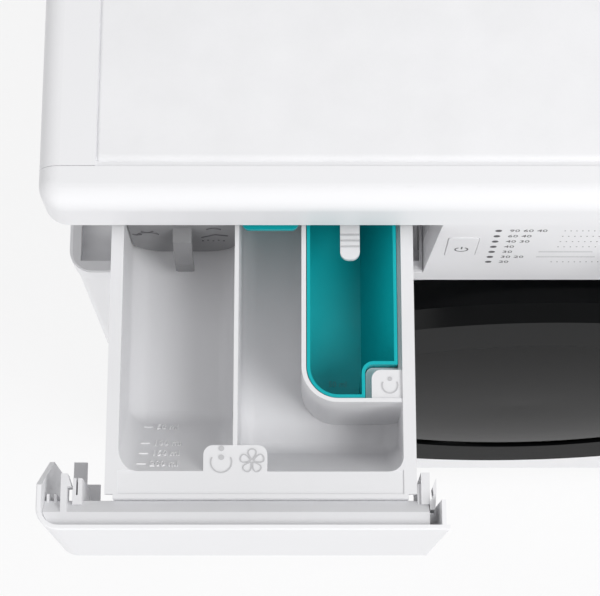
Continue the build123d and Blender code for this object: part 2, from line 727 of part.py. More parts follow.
# Drawer body: two compartments, the insert pocket and side rails
body_left = drawer_left + drawer_rail
body_right = drawer_right - drawer_rail
inner_left = body_left + drawer_wall
inner_right = body_right - drawer_wall
partition_left = drawer_left + 67.7
partition_right = partition_left + 2.3
pocket_left = partition_right + 34.2
pocket_wall = 2.5
pocket_front_d = 70
pocket_front_wall = 2.2
pocket_radius = 20
side_rib = 2
compartment_front_d = 32
compartment_back_d = drawer_body_d + drawer_length - drawer_wall
wash_floor_z = drawer_bottom_z + 11
wash_ramp_d = 72
wash_ramp_z = wash_floor_z + 8
softener_back_z = drawer_bottom_z + 13
softener_floor_z = softener_back_z + 4
softener_fillet = 8
softener_ramp_d = 54
pocket_floor_z = drawer_bottom_z + 27
pillar_left = partition_left - 15.7
pillar_right = partition_right + 16
pillar_d = 46.5
shelf_left = inner_right - 16.5
shelf_front_d = pocket_front_d + pocket_front_wall - 0.2
shelf_back_d = 88
step_left = shelf_left - 3
step_back_d = shelf_back_d + 2.5
step_drop = 8
step_corner = 4
step_gap = 0.5
flap_d = 174
flap_axis_z = drawer_rim_z - 9
flap_pin_radius = 1.5
floor_fillet = 11

lever_left = pocket_left + 21.3
lever_right = lever_left + 10.7
lever_d = 150
lever_pin_d = 239
lever_pin_z = drawer_rim_z - 3.5
lever_pin_radius = 1.5
lug_gap = 0.8
lug_width = 3
floor_skin = 3
deck_drop = 0.8
lip_width = 2.5

with BuildPart() as drawer_body:
    block(body_left, body_right, in_drawer(drawer_body_d), in_drawer(drawer_body_d + drawer_length),
          drawer_bottom_z, drawer_rim_z)
    fillet(drawer_body.edges().group_by(Axis.Z)[0], radius=6)
    # Wash compartment with a ramped front
    side_prism([
        (in_drawer(compartment_front_d), drawer_rim_z + 1),
        (in_drawer(compartment_front_d), drawer_rim_z),
        (in_drawer(wash_ramp_d), wash_ramp_z),
        (in_drawer(compartment_back_d), wash_floor_z),
        (in_drawer(compartment_back_d), drawer_rim_z + 1),
    ], inner_left, partition_left, Mode.SUBTRACT)
    wash_edges = drawer_body.edges().filter_by(
        lambda e: inner_left - 0.1 < e.center().X < partition_left + 0.1
        and wash_floor_z - 1 < e.center().Z < drawer_rim_z - 1
        and e.center().Y > in_drawer(compartment_front_d))
    fillet(wash_edges, radius=floor_fillet)
    # Softener compartment, wrapping round the front of the insert pocket
    side_prism([
        (in_drawer(compartment_front_d), drawer_rim_z + 1),
        (in_drawer(compartment_front_d), drawer_rim_z),
        (in_drawer(softener_ramp_d), softener_floor_z),
        (in_drawer(compartment_back_d), softener_back_z),
        (in_drawer(compartment_back_d), drawer_rim_z + 1),
    ], partition_right, inner_right, Mode.SUBTRACT)
    softener_edges = drawer_body.edges().filter_by(
        lambda e: partition_right - 0.1 < e.center().X < inner_right + 0.1
        and softener_back_z - 1 < e.center().Z < drawer_rim_z - 1
        and e.center().Y > in_drawer(compartment_front_d)
        and e.center().Y < in_drawer(compartment_back_d) + 0.1)
    fillet(softener_edges, radius=softener_fillet)
    # Deck behind the front lip lies a little lower than the rim
    block(inner_left, inner_right, in_drawer(drawer_body_d + lip_width), in_drawer(compartment_front_d + 1),
          drawer_rim_z - deck_drop, drawer_rim_z + 1, Mode.SUBTRACT)
    # Insert pocket wall, rounded at the front left corner
    with BuildSketch(Plane.XY.offset(drawer_bottom_z + 4)) as pocket_outer:
        with Locations(((pocket_left + inner_right + 1) / 2,
                        in_drawer((pocket_front_d + compartment_back_d + 1) / 2))):
            Rectangle(inner_right + 1 - pocket_left, compartment_back_d + 1 - pocket_front_d)
        fillet(pocket_outer.vertices().group_by(Axis.Y)[0].sort_by(Axis.X)[0], radius=pocket_radius)
    extrude(amount=drawer_rim_z - 1 - drawer_bottom_z - 4)
    with BuildSketch(Plane.XY.offset(pocket_floor_z)) as pocket_inner:
        with Locations(((pocket_left + pocket_wall + inner_right) / 2,
                        in_drawer((pocket_front_d + pocket_front_wall + compartment_back_d) / 2))):
            Rectangle(inner_right - pocket_left - pocket_wall,
                      compartment_back_d - pocket_front_d - pocket_front_wall)
        fillet(pocket_inner.vertices().group_by(Axis.Y)[0].sort_by(Axis.X)[0],
               radius=pocket_radius - pocket_wall)
    extrude(amount=drawer_rim_z + 1 - pocket_floor_z, mode=Mode.SUBTRACT)
    # Mark pillar between the compartments and mark shelf at the pocket corner
    with BuildSketch(Plane.XY.offset(drawer_bottom_z + 4)) as pillar:
        with Locations(((pillar_left + pillar_right) / 2,
                        in_drawer((compartment_front_d - 2 + pillar_d) / 2))):
            Rectangle(pillar_right - pillar_left, pillar_d - compartment_front_d + 2)
        fillet(pillar.vertices().group_by(Axis.Y)[-1], radius=5)
    extrude(amount=drawer_rim_z - deck_drop - drawer_bottom_z - 4)
    block(pillar_left, pillar_right, in_drawer(compartment_front_d), in_drawer(pillar_d),
          drawer_rim_z - deck_drop, drawer_rim_z + 1, Mode.SUBTRACT)
    with BuildSketch(Plane.XY.offset(pocket_floor_z - 2)) as shelf:
        with Locations(((shelf_left + inner_right + 1) / 2, in_drawer((shelf_front_d + shelf_back_d) / 2))):
            Rectangle(inner_right + 1 - shelf_left, shelf_back_d - shelf_front_d)
        fillet(shelf.vertices().group_by(Axis.Y)[-1].sort_by(Axis.X)[0], radius=5)
    extrude(amount=drawer_rim_z - 2 - pocket_floor_z + 2)
    # Step round the shelf, below the cup's rim
    with BuildSketch(Plane.XY.offset(pocket_floor_z - 2)) as step:
        with Locations(((step_left + inner_right + 1) / 2, in_drawer((shelf_front_d + step_back_d) / 2))):
            Rectangle(inner_right + 1 - step_left, step_back_d - shelf_front_d)
        fillet(corner_at(step, (step_left, in_drawer(step_back_d))), radius=step_corner)
    extrude(amount=drawer_rim_z - step_drop - pocket_floor_z + 2)
    # Rib on the right wall that steadies the insert
    block(inner_right - side_rib, inner_right + 0.5, in_drawer(shelf_back_d - 1),
          in_drawer(compartment_back_d + 0.5), pocket_floor_z - 1, drawer_rim_z - 5)
    # Hollow underside below the pocket and below the ramps
    hollow_left = pocket_left + floor_skin
    hollow_right = inner_right - floor_skin + 2
    hollow_front = in_drawer(pocket_front_d + floor_skin)
    hollow_back = in_drawer(compartment_back_d - floor_skin + 2)
    with BuildSketch(Plane.XY.offset(drawer_bottom_z - 1)) as underside:
        with Locations(((hollow_left + hollow_right) / 2, (hollow_front + hollow_back) / 2)):
            Rectangle(hollow_right - hollow_left, hollow_back - hollow_front)
        fillet(corner_at(underside, (hollow_left, hollow_front)), radius=pocket_radius - floor_skin)
    extrude(amount=pocket_floor_z - floor_skin - drawer_bottom_z + 1, mode=Mode.SUBTRACT)
    for ramp_d, ramp_z, x0, x1 in ((wash_ramp_d, wash_ramp_z, inner_left, pillar_left),
                                   (softener_ramp_d, softener_floor_z, pillar_right, inner_right)):
        side_prism([
            (in_drawer(drawer_body_d + floor_skin), drawer_bottom_z - 1),
            (in_drawer(drawer_body_d + floor_skin), drawer_rim_z - 5),
            (in_drawer(compartment_front_d - floor_skin), drawer_rim_z - 5),
            (in_drawer(ramp_d - 5), ramp_z - floor_skin),
            (in_drawer(ramp_d - 5), drawer_bottom_z - 1),
        ], x0 + 1, x1 - 1, Mode.SUBTRACT)
    # Side rails
    for outer, inner in ((drawer_left, body_left + 0.5), (body_right - 0.5, drawer_right)):
        block(outer, inner, in_drawer(drawer_body_d + lip_width), in_drawer(drawer_body_d + drawer_length),
              drawer_rim_z - drawer_rail_thickness, drawer_rim_z)
    # Pivot holes of the liquid flap
    bar_x(in_drawer(flap_d), flap_axis_z, flap_pin_radius + pin_fit, inner_left - 1.6, inner_left + 1,
          Mode.SUBTRACT)
    bar_x(in_drawer(flap_d), flap_axis_z, flap_pin_radius + pin_fit, partition_left - 1, partition_left + 1.6,
          Mode.SUBTRACT)
    # Lugs of the release lever on the back wall
    for lug_x in (lever_left - lug_gap - lug_width, lever_right + lug_gap):
        block(lug_x, lug_x + lug_width, in_drawer(lever_pin_d - 5), in_drawer(compartment_back_d + 1),
              lever_pin_z - 6, drawer_rim_z)
        bar_x(in_drawer(lever_pin_d), lever_pin_z, lever_pin_radius + pin_fit,
              lug_x - 1, lug_x + lug_width + 1, Mode.SUBTRACT)
drawer_body.part.label = "drawer_body"
export_step(drawer_body.part, "parts/drawer_body.step")

# White drawer front: plate, left cheek and short right cheek
front_plate = 2.7
front_left = -fascia_half
front_corner = 12
edge_gap = 1.0
slant = (opening_top_x - opening_low_x) / (cabinet_top - strip_top)


# Right end of the drawer front at a height, beside the slanted opening
def front_right(z):
    return opening_low_x + slant * (z - strip_top) - edge_gap


with BuildPart() as drawer_front:
    for inset, mode in ((0, Mode.ADD), (front_plate, Mode.SUBTRACT)):
        with BuildSketch(Plane.XY.offset(drawer_front_bottom - (1 if inset else 0))) as plan:
            right_end = opening_top_x + 5
            with Locations(((front_left + inset + right_end) / 2, in_drawer(inset + cheek_depth / 2))):
                Rectangle(right_end - front_left - inset, cheek_depth)
            fillet(plan.vertices().group_by(Axis.Y)[0].sort_by(Axis.X)[0], radius=front_corner - inset)
        extrude(amount=drawer_front_top - drawer_front_bottom + (2 if inset else 0), mode=mode)
    side_prism([
        (in_drawer(cheek_top_depth), cabinet_top + 1),
        (in_drawer(cheek_top_depth), cabinet_top),
        (in_drawer(cheek_depth), cheek_knee_z),
        (in_drawer(cheek_depth + 1), cheek_knee_z),
        (in_drawer(cheek_depth + 1), cabinet_top + 1),
    ], front_left - 1, front_left + front_plate + 1, Mode.SUBTRACT)
    front_prism([
        (front_right(drawer_front_bottom - 1), drawer_front_bottom - 1),
        (opening_top_x + 10, drawer_front_bottom - 1),
        (opening_top_x + 10, drawer_front_top + 1),
        (front_right(drawer_front_top + 1), drawer_front_top + 1),
    ], in_drawer(-1), in_drawer(cheek_depth + 1), Mode.SUBTRACT)
    front_prism([
        (front_right(drawer_front_bottom) - 4.2, drawer_front_bottom),
        (front_right(drawer_front_bottom) - 2, drawer_front_bottom),
        (front_right(drawer_front_top) - 2, drawer_front_top),
        (front_right(drawer_front_top) - 4.2, drawer_front_top),
    ], in_drawer(front_plate - 0.5), in_drawer(16))
    fillet(drawer_front.faces().sort_by(Axis.Y)[0].edges(), radius=1)
drawer_front.part.label = "drawer_front"
export_step(drawer_front.part, "parts/drawer_front.step")

# Grey carrier that clips the front to the drawer body
carrier_top = drawer_rim_z + 1
carrier_front_d = front_plate + 0.1
carrier_back_d = drawer_body_d - 0.2
carrier_left = front_left + front_plate + 0.1
carrier_right = front_right(drawer_front_bottom) - 4.5
carrier_low = drawer_front_bottom + 7.4
tongue_z = carrier_low + 28
tongue_thickness = 3
tongue_left = carrier_left + 8.7
tongue_d = 34.5
blade_left = carrier_left + 9.2
blade_thickness = 3.4
blade_depth = 10
guide_left = carrier_left + 15.2
guide_low = carrier_top - 40
guide_top = carrier_top - 3
snap_right = drawer_right + 6.9
with BuildPart() as drawer_carrier:
    with BuildSketch(Plane.XY.offset(carrier_low)) as plan:
        with Locations(((carrier_left + carrier_right) / 2,
                        in_drawer((carrier_front_d + carrier_back_d) / 2))):
            Rectangle(carrier_right - carrier_left, carrier_back_d - carrier_front_d)
        fillet(plan.vertices().group_by(Axis.Y)[0].sort_by(Axis.X)[0], radius=front_corner - front_plate)
    extrude(amount=carrier_top - carrier_low)
    # Flat ledge in front, sloping strip behind it, thin skirt below
    side_prism([
        (in_drawer(10.5), carrier_top + 1),
        (in_drawer(10.5), carrier_top),
        (in_drawer(carrier_back_d), carrier_top - 7),
        (in_drawer(carrier_back_d + 1), carrier_top - 7),
        (in_drawer(carrier_back_d + 1), carrier_top + 1),
    ], carrier_left - 1, carrier_right + 1, Mode.SUBTRACT)
    side_prism([
        (in_drawer(6), carrier_low - 1),
        (in_drawer(6), carrier_low + 26),
        (in_drawer(10), carrier_low + 34),
        (in_drawer(carrier_back_d + 1), carrier_low + 42),
        (in_drawer(carrier_back_d + 1), carrier_low - 1),
    ], carrier_left - 1, carrier_right + 1, Mode.SUBTRACT)
    # Flat guide tongue at the left
    block(tongue_left, tongue_left + 15.5, in_drawer(5), in_drawer(tongue_d), tongue_z,
          tongue_z + tongue_thickness)
    block(tongue_left + 0.5, tongue_left + 7.9, in_drawer(tongue_d - 0.5), in_drawer(tongue_d + 12.5),
          tongue_z, tongue_z + tongue_thickness)
    # Left snap blade with its hooked head, and the slotted guide beside it
    blade_right = blade_left + blade_thickness
    block(blade_left, blade_right, in_drawer(9), in_drawer(31), carrier_top - blade_depth, carrier_top)
    head = [(blade_right - 0.1, 24), (blade_right + 2.2, 24), (blade_right - 0.1, 31)]
    with BuildSketch(Plane.XY.offset(carrier_top - blade_depth)) as hook:
        with BuildLine():
            Polyline(*[(x, in_drawer(d)) for x, d in head], close=True)
        make_face()
    extrude(amount=blade_depth)
    block(guide_left, guide_left + 5, in_drawer(15), in_drawer(29), guide_low, guide_top)
    block(guide_left + 1.8, guide_left + 2.7, in_drawer(20), in_drawer(30), guide_low - 6, guide_top + 2,
          Mode.SUBTRACT)
    # Ribs behind the left cheek
    for rib_x in (carrier_left + 1.2, carrier_left + 5.2):
        block(rib_x, rib_x + 1.4, in_drawer(12), in_drawer(21), guide_low - 4, guide_top - 3)
    # Right post, stop tab and snap blade
    block(snap_right - 4.6, snap_right, in_drawer(15), in_drawer(32), guide_low, guide_top)
    block(snap_right - 6.5, snap_right - 4.5, in_drawer(15), in_drawer(26), guide_low, guide_top - 2)
    snap = [(-0.2, 12), (2.6, 12), (3.4, 22), (3.4, 29), (1.4, 24), (1.8, 20), (-0.2, 16)]
    with BuildSketch(Plane.XY.offset(guide_top - 11)) as blade:
        with BuildLine():
            Polyline(*[(snap_right + x, in_drawer(d)) for x, d in snap], close=True)
        make_face()
    extrude(amount=12)
drawer_carrier.part.label = "drawer_carrier"
export_step(drawer_carrier.part, "parts/drawer_carrier.step")

# Inset cup for extra detergent
insert_gap = 0.4
insert_left = pocket_left + pocket_wall + insert_gap
insert_right = inner_right - side_rib - insert_gap
insert_front_d = pocket_front_d + pocket_front_wall + insert_gap
insert_back_d = 214
insert_top_z = drawer_rim_z - 2
insert_bottom_z = pocket_floor_z + fit_gap
insert_wall = 1.8
notch_x = step_left - step_gap
notch_d = step_back_d + step_gap
notch_radius = step_corner + step_gap
insert_floor_right = shelf_left - 4


# Plan of the cup, shrunk by a wall, with its notch for the mark shelf
def insert_plan(shrink):
    return [
        (insert_left + shrink, in_drawer(insert_front_d + shrink)),
        (notch_x - shrink, in_drawer(insert_front_d + shrink)),
        (notch_x - shrink, in_drawer(notch_d + shrink)),
        (insert_right - shrink, in_drawer(notch_d + shrink)),
        (insert_right - shrink, in_drawer(insert_back_d - shrink)),
        (insert_left + shrink, in_drawer(insert_back_d - shrink)),
    ]


with BuildPart() as insert_cavity:
    with BuildSketch(Plane.XY.offset(insert_bottom_z + insert_wall)) as plan:
        with BuildLine():
            Polyline(*insert_plan(insert_wall), close=True)
        make_face()
        fillet(corner_at(plan, insert_plan(insert_wall)[0]), radius=pocket_radius - pocket_wall - 2)
        fillet(corner_at(plan, insert_plan(insert_wall)[2]), radius=notch_radius + insert_wall)
    extrude(amount=insert_top_z - insert_bottom_z)
    # The right wall slopes in towards the floor
    front_prism([
        (insert_right + 1, insert_bottom_z),
        (insert_floor_right, insert_bottom_z),
        (insert_floor_right, insert_bottom_z + insert_wall),
        (insert_right - insert_wall, insert_top_z - 3),
        (insert_right + 1, insert_top_z - 3),
    ], in_drawer(insert_front_d - 1), in_drawer(insert_back_d + 1), Mode.SUBTRACT)

with BuildPart() as drawer_insert:
    with BuildSketch(Plane.XY.offset(insert_bottom_z)) as plan:
        with BuildLine():
            Polyline(*insert_plan(0), close=True)
        make_face()
        fillet(corner_at(plan, insert_plan(0)[0]), radius=pocket_radius - pocket_wall)
        fillet(corner_at(plan, insert_plan(0)[2]), radius=notch_radius)
    extrude(amount=insert_top_z - insert_bottom_z)
    add(insert_cavity.part, mode=Mode.SUBTRACT)
    # Notch in the back wall for the release lever
    block(lever_left - 2.5, lever_right + 2.5, in_drawer(insert_back_d - 4), in_drawer(insert_back_d + 1),
          lever_pin_z - 8, insert_top_z + 1, Mode.SUBTRACT)
drawer_insert.part.label = "drawer_insert"
export_step(drawer_insert.part, "parts/drawer_insert.step")

# Siphon cap at the back of the softener compartment
siphon_d = 167.5
siphon_tube_d = siphon_d + 31
siphon_x = (partition_right + pocket_left) / 2
siphon_radius = 11
with BuildPart() as siphon_cap:
    with BuildSketch(Plane.XY.offset(insert_top_z - 3)):
        with Locations((siphon_x, in_drawer(siphon_d + 23))):
            RectangleRounded(pocket_left - partition_right - 3, 46, 4)
    extrude(amount=3)
    bar_z(siphon_x, in_drawer(siphon_tube_d), siphon_radius, softener_floor_z - 2.5, insert_top_z - 2)
    bar_z(siphon_x, in_drawer(siphon_tube_d), siphon_radius - 2, softener_floor_z - 4, insert_top_z - 6,
          Mode.SUBTRACT)
siphon_cap.part.label = "siphon_cap"
export_step(siphon_cap.part, "parts/siphon_cap.step")

# Hanging flap for liquid detergent
flap_thickness = 2.5
flap_side_gap = 0.5
flap_low = wash_floor_z + 6
flap_corner = 18
handle_left = (inner_left + partition_left) / 2 - 5
handle_width = 10.5
handle_corner = 2.5
handle_low = flap_axis_z - 44
with BuildPart() as liquid_flap:
    with BuildSketch(front_view(in_drawer(flap_d + flap_thickness / 2))) as plate:
        with Locations(((inner_left + partition_left) / 2, (flap_low + flap_axis_z + 3) / 2)):
            Rectangle(partition_left - inner_left - 2 * flap_side_gap, flap_axis_z + 3 - flap_low)
        fillet(plate.vertices().group_by(Axis.Y)[0], radius=flap_corner)
    extrude(amount=flap_thickness)
    bar_x(in_drawer(flap_d), flap_axis_z, flap_pin_radius, inner_left - 1.4, partition_left + 1.4)
    side_prism([
        (in_drawer(flap_d), flap_axis_z - 8),
        (in_drawer(flap_d - 9), flap_axis_z - 10),
        (in_drawer(flap_d - 16), flap_axis_z - 30),
        (in_drawer(flap_d - 16), handle_low),
        (in_drawer(flap_d - 13.5), handle_low),
        (in_drawer(flap_d - 13), flap_axis_z - 31),
        (in_drawer(flap_d - 7), flap_axis_z - 16),
        (in_drawer(flap_d), flap_axis_z - 20),
    ], handle_left, handle_left + handle_width)
    cross_edges = liquid_flap.edges().filter_by(Axis.Y)
    fillet(cross_edges.filter_by(lambda edge: abs(edge.center().Z - handle_low) < 0.1),
           radius=handle_corner)
liquid_flap.part.label = "liquid_flap"
export_step(liquid_flap.part, "parts/liquid_flap.step")

# Release lever at the back of the drawer
lever_thickness = 2.5
lever_barrel_radius = 2.6
with BuildPart() as release_lever:
    lever_top = lever_pin_z + 1.5
    with BuildSketch(Plane.XY.offset(lever_top - lever_thickness)) as strip:
        with Locations(((lever_left + lever_right) / 2, in_drawer((lever_d + lever_pin_d) / 2))):
            Rectangle(lever_right - lever_left, lever_pin_d - lever_d)
        fillet(strip.vertices().group_by(Axis.Y)[0], radius=4.5)
    extrude(amount=lever_thickness)
    bar_x(in_drawer(lever_pin_d), lever_pin_z, lever_barrel_radius, lever_left, lever_right)
    bar_x(in_drawer(lever_pin_d), lever_pin_z, lever_pin_radius, lever_left - lug_gap - lug_width,
          lever_right + lug_gap + lug_width)
    for groove in range(3):
        groove_d = lever_d + 7 + 3.4 * groove
        block(lever_left - 1, lever_right + 1, in_drawer(groove_d), in_drawer(groove_d + 1.4),
              lever_top - 0.7, lever_top + 1, Mode.SUBTRACT)
release_lever.part.label = "release_lever"
export_step(release_lever.part, "parts/release_lever.step")

# Front half of the tub, with the neck for the gasket and the sump outlet
inlet_spigot_top = outlet_low - 45
sump_x = 80
sump_y = tub_front_y + 25
sump_radius = 16
sump_low = axis_z - tub_radius - 11
with BuildPart() as tub_front:
    turned([
        (tub_neck_y, tub_neck_radius),
        (tub_neck_y, tub_neck_radius + tub_wall),
        (tub_front_y, tub_neck_radius + tub_wall),
        (tub_front_y, tub_radius),
        (tub_split_y - 10, tub_radius),
        (tub_split_y - 10, tub_radius + tub_flange),
        (tub_split_y, tub_radius + tub_flange),
        (tub_split_y, tub_inner),
        (tub_front_y + tub_front_wall, tub_inner),
        (tub_front_y + tub_front_wall, tub_neck_radius),
    ])
    bar_z(outlet_x, outlet_y, outlet_radius, axis_z + 100, inlet_spigot_top)
    bar_z(sump_x, sump_y, sump_radius, sump_low, axis_z - 200)
    turned([
        (tub_front_y + tub_front_wall, 0.0),
        (tub_front_y + tub_front_wall, tub_inner),
        (tub_split_y + 1, tub_inner),
        (tub_split_y + 1, 0.0),
    ], Mode.SUBTRACT)
    bar_z(outlet_x, outlet_y, outlet_radius - 2.5, axis_z + 90, inlet_spigot_top + 1, Mode.SUBTRACT)
    bar_z(sump_x, sump_y, sump_radius - 2.5, sump_low - 1, axis_z - 190, Mode.SUBTRACT)
tub_front.part.label = "tub_front"
export_step(tub_front.part, "parts/tub_front.step")

# Rear half of the tub, with bearing hub, lugs and the heater opening
spring_lug_z = axis_z + 155
spring_lug_thickness = 8
spring_lug_width = 24
damper_lug_z = axis_z - 209
damper_lug_thickness = 8
heater_x = 30
heater_tube_radius = 4
heater_z = axis_z - sqrt((tub_inner - 8.5) ** 2 - heater_x ** 2)
heater_hole_half = heater_x + 12
heater_hole_height = 16
with BuildPart() as tub_rear:
    turned([
        (tub_split_y, tub_inner),
        (tub_split_y, tub_radius + tub_flange),
        (tub_split_y + 10, tub_radius + tub_flange),
        (tub_split_y + 10, tub_radius),
        (tub_back_y, tub_radius),
        (tub_back_y, hub_radius),
        (hub_back_y, hub_radius),
        (hub_back_y, rear_bearing_radius),
        (rear_bearing_y, rear_bearing_radius),
        (rear_bearing_y, rear_bearing_radius - 4),
        (front_bearing_y + front_bearing_width, rear_bearing_radius - 4),
        (front_bearing_y + front_bearing_width, front_bearing_radius),
        (front_bearing_y - 8, front_bearing_radius),
        (front_bearing_y - 8, hub_radius),
        (tub_back_y - tub_back_wall, hub_radius),
        (tub_back_y - tub_back_wall, tub_inner),
    ])
    # Stiffening ribs on the back wall
    with BuildSketch(front_view(tub_back_y + 16)) as ribs:
        with PolarLocations(0, 8):
            with Locations((hub_radius - 2 + 90, 0)):
                Rectangle(180, 6)
    extrude(ribs.sketch.moved(Location((0, 0, axis_z))), amount=17)
    # Spring lugs, damper lugs and motor lugs
    for side in (-1, 1):
        block(min(side * 205, side * (spring_x + 14)), max(side * 205, side * (spring_x + 14)),
              spring_y - spring_lug_width / 2, spring_y + spring_lug_width / 2,
              spring_lug_z - spring_lug_thickness, spring_lug_z)
        bar_z(side * spring_x, spring_y, spring_rod_radius + fit_gap, spring_lug_z - 20, spring_lug_z + 10,
              Mode.SUBTRACT)
        block(min(side * (damper_x - 15), side * (damper_x + 15)),
              max(side * (damper_x - 15), side * (damper_x + 15)),
              damper_y - 15, damper_y + 15, damper_lug_z - damper_lug_thickness, damper_lug_z + 60)
    for lug_y in (motor_front_y + 25, motor_front_y + 100):
        block(motor_x - 40, motor_x + 40, lug_y, lug_y + 20, motor_z + 30, axis_z - 200)
    bar_y(motor_x, motor_z, motor_radius + fit_gap, 0, tub_back_y + 40, Mode.SUBTRACT)
    turned([
        (tub_split_y - 1, hub_radius),
        (tub_split_y - 1, tub_inner),
        (tub_back_y - tub_back_wall, tub_inner),
        (tub_back_y - tub_back_wall, hub_radius),
    ], Mode.SUBTRACT)
    block(-heater_hole_half, heater_hole_half, tub_back_y - tub_back_wall - 1, tub_back_y + 20,
          heater_z - heater_hole_height / 2, heater_z + heater_hole_height / 2, Mode.SUBTRACT)
tub_rear.part.label = "tub_rear"
export_step(tub_rear.part, "parts/tub_rear.step")

# Heating element through the back wall of the tub
heater_front_y = drum_front_y + 65
with BuildPart() as heater:
    for side in (-1, 1):
        bar_y(side * heater_x, heater_z, heater_tube_radius, heater_front_y, tub_back_y + 14)
    block(-heater_x, heater_x, heater_front_y, heater_front_y + 2 * heater_tube_radius,
          heater_z - heater_tube_radius, heater_z + heater_tube_radius - 1.5)
    block(-heater_hole_half + fit_gap, heater_hole_half - fit_gap, tub_back_y - tub_back_wall, tub_back_y + 4,
          heater_z - heater_hole_height / 2 + fit_gap, heater_z + heater_hole_height / 2 - fit_gap)
heater.part.label = "heater"
export_step(heater.part, "parts/heater.step")

# Two ball bearings and the lip seal in the hub
with BuildPart() as bearing_set:
    turned([
        (front_bearing_y, shaft_radius + pin_fit),
        (front_bearing_y, front_bearing_radius - pin_fit),
        (front_bearing_y + front_bearing_width - 0.1, front_bearing_radius - pin_fit),
        (front_bearing_y + front_bearing_width - 0.1, shaft_radius + pin_fit),
    ])
    turned([
        (rear_bearing_y + 0.1, shaft_end_radius + pin_fit),
        (rear_bearing_y + 0.1, rear_bearing_radius - pin_fit),
        (rear_bearing_y + rear_bearing_width, rear_bearing_radius - pin_fit),
        (rear_bearing_y + rear_bearing_width, shaft_end_radius + pin_fit),
    ])
    turned([
        (front_bearing_y - 8, shaft_radius + fit_gap),
        (front_bearing_y - 8, front_bearing_radius - pin_fit),
        (front_bearing_y - 0.2, front_bearing_radius - pin_fit),
        (front_bearing_y - 0.2, shaft_radius + fit_gap),
    ])
bearing_set.part.label = "bearing_set"
export_step(bearing_set.part, "parts/bearing_set.step")

# Drum: rolled shell with its front ring and back plate in one
drum_outer = drum_radius + sheet
mouth_roll = 8
with BuildPart() as drum_shell:
    turned([
        (drum_front_y, drum_mouth_radius),
        (drum_front_y, drum_outer - 6),
        (drum_front_y + 6, drum_outer),
        (drum_back_y, drum_outer),
        (drum_back_y, 40),
        (drum_back_y - sheet, 40),
        (drum_back_y - sheet, drum_radius),
        (drum_front_y + 6.5, drum_radius),
        (drum_front_y + sheet, drum_outer - 7),
        (drum_front_y + sheet, drum_mouth_radius + sheet),
        (drum_front_y + mouth_roll, drum_mouth_radius + sheet),
        (drum_front_y + mouth_roll, drum_mouth_radius),
    ])
drum_shell.part.label = "drum_shell"
export_step(drum_shell.part, "parts/drum_shell.step")

# Three lifting paddles inside the shell
lifter_height = 52
lifter_base = 34
lifter_tip = 14
lifter_front_y = drum_front_y + 22
lifter_back_y = drum_back_y - 14


# Cross-section of a paddle, turned to an angle about the drum axis
def lifter_outline(angle):
    section = [
        (drum_radius + 2, -lifter_base),
        (drum_radius - 14, -lifter_base + 8),
        (drum_radius - lifter_height, -lifter_tip + 5),
        (drum_radius - lifter_height, lifter_tip - 5),
        (drum_radius - 14, lifter_base - 8),
        (drum_radius + 2, lifter_base),
    ]
    c = cos(radians(angle))
    s = sin(radians(angle))
    return [(r * c - t * s, axis_z + r * s + t * c) for r, t in section]


with BuildPart() as drum_lifters:
    for angle in (90, 210, 330):
        front_prism(lifter_outline(angle), lifter_front_y, lifter_back_y)
    fillet(drum_lifters.edges().filter_by(Axis.Y), radius=3)
    turned([
        (lifter_front_y - 1, drum_radius - 0.1),
        (lifter_front_y - 1, drum_radius + 20),
        (lifter_back_y + 1, drum_radius + 20),
        (lifter_back_y + 1, drum_radius - 0.1),
    ], Mode.SUBTRACT)
drum_lifters.part.label = "drum_lifters"
export_step(drum_lifters.part, "parts/drum_lifters.step")

# Three-armed spider behind the drum
spider_thickness = 10
spider_hub_radius = 30
spider_arm_width = 34
spider_reach = drum_radius - 8
with BuildPart() as drum_spider:
    with BuildSketch(front_view(drum_back_y + spider_thickness)) as spider:
        with Locations((0, axis_z)):
            Circle(spider_hub_radius + 15)
            with PolarLocations(0, 3, start_angle=30):
                with Locations((spider_reach / 2, 0)):
                    SlotOverall(spider_reach + 20, spider_arm_width)
    extrude(amount=spider_thickness)
    bar_y(0, axis_z, shaft_radius + pin_fit, drum_back_y - 1, drum_back_y + spider_thickness + 1,
          Mode.SUBTRACT)
    turned([
        (drum_back_y - 1, drum_radius - 4),
        (drum_back_y - 1, drum_radius + 60),
        (drum_back_y + 30, drum_radius + 60),
        (drum_back_y + 30, drum_radius - 4),
    ], Mode.SUBTRACT)
drum_spider.part.label = "drum_spider"
export_step(drum_spider.part, "parts/drum_spider.step")

with BuildPart() as drum_shaft:
    bar_y(0, axis_z, shaft_radius, drum_back_y, shaft_step_y)
    bar_y(0, axis_z, shaft_end_radius, shaft_step_y - 1, shaft_end_y)
    bar_y(0, axis_z, shaft_radius + 4, drum_back_y - 4, drum_back_y)
drum_shaft.part.label = "drum_shaft"
export_step(drum_shaft.part, "parts/drum_shaft.step")

# Large spoked pulley on the shaft end
rim_thickness = 8
spoke_count = 6
spoke_width = 20
pulley_hub_radius = 30
with BuildPart() as drum_pulley:
    with BuildSketch(front_view(pulley_y + pulley_width)) as rim:
        with Locations((0, axis_z)):
            Circle(pulley_radius)
            Circle(pulley_radius - rim_thickness, mode=Mode.SUBTRACT)
    extrude(amount=pulley_width)
    with BuildSketch(front_view(pulley_y + pulley_width - 5)) as spokes:
        with Locations((0, axis_z)):
            Circle(pulley_hub_radius)
            with PolarLocations(0, spoke_count):
                with Locations((pulley_radius / 2, 0)):
                    Rectangle(pulley_radius - rim_thickness, spoke_width)
    extrude(amount=pulley_width - 10)
    bar_y(0, axis_z, pulley_hub_radius, pulley_y - 8, pulley_y + pulley_width)
    bar_y(0, axis_z, shaft_end_radius + pin_fit, pulley_y - 9, pulley_y + pulley_width + 1, Mode.SUBTRACT)
drum_pulley.part.label = "drum_pulley"
export_step(drum_pulley.part, "parts/drum_pulley.step")

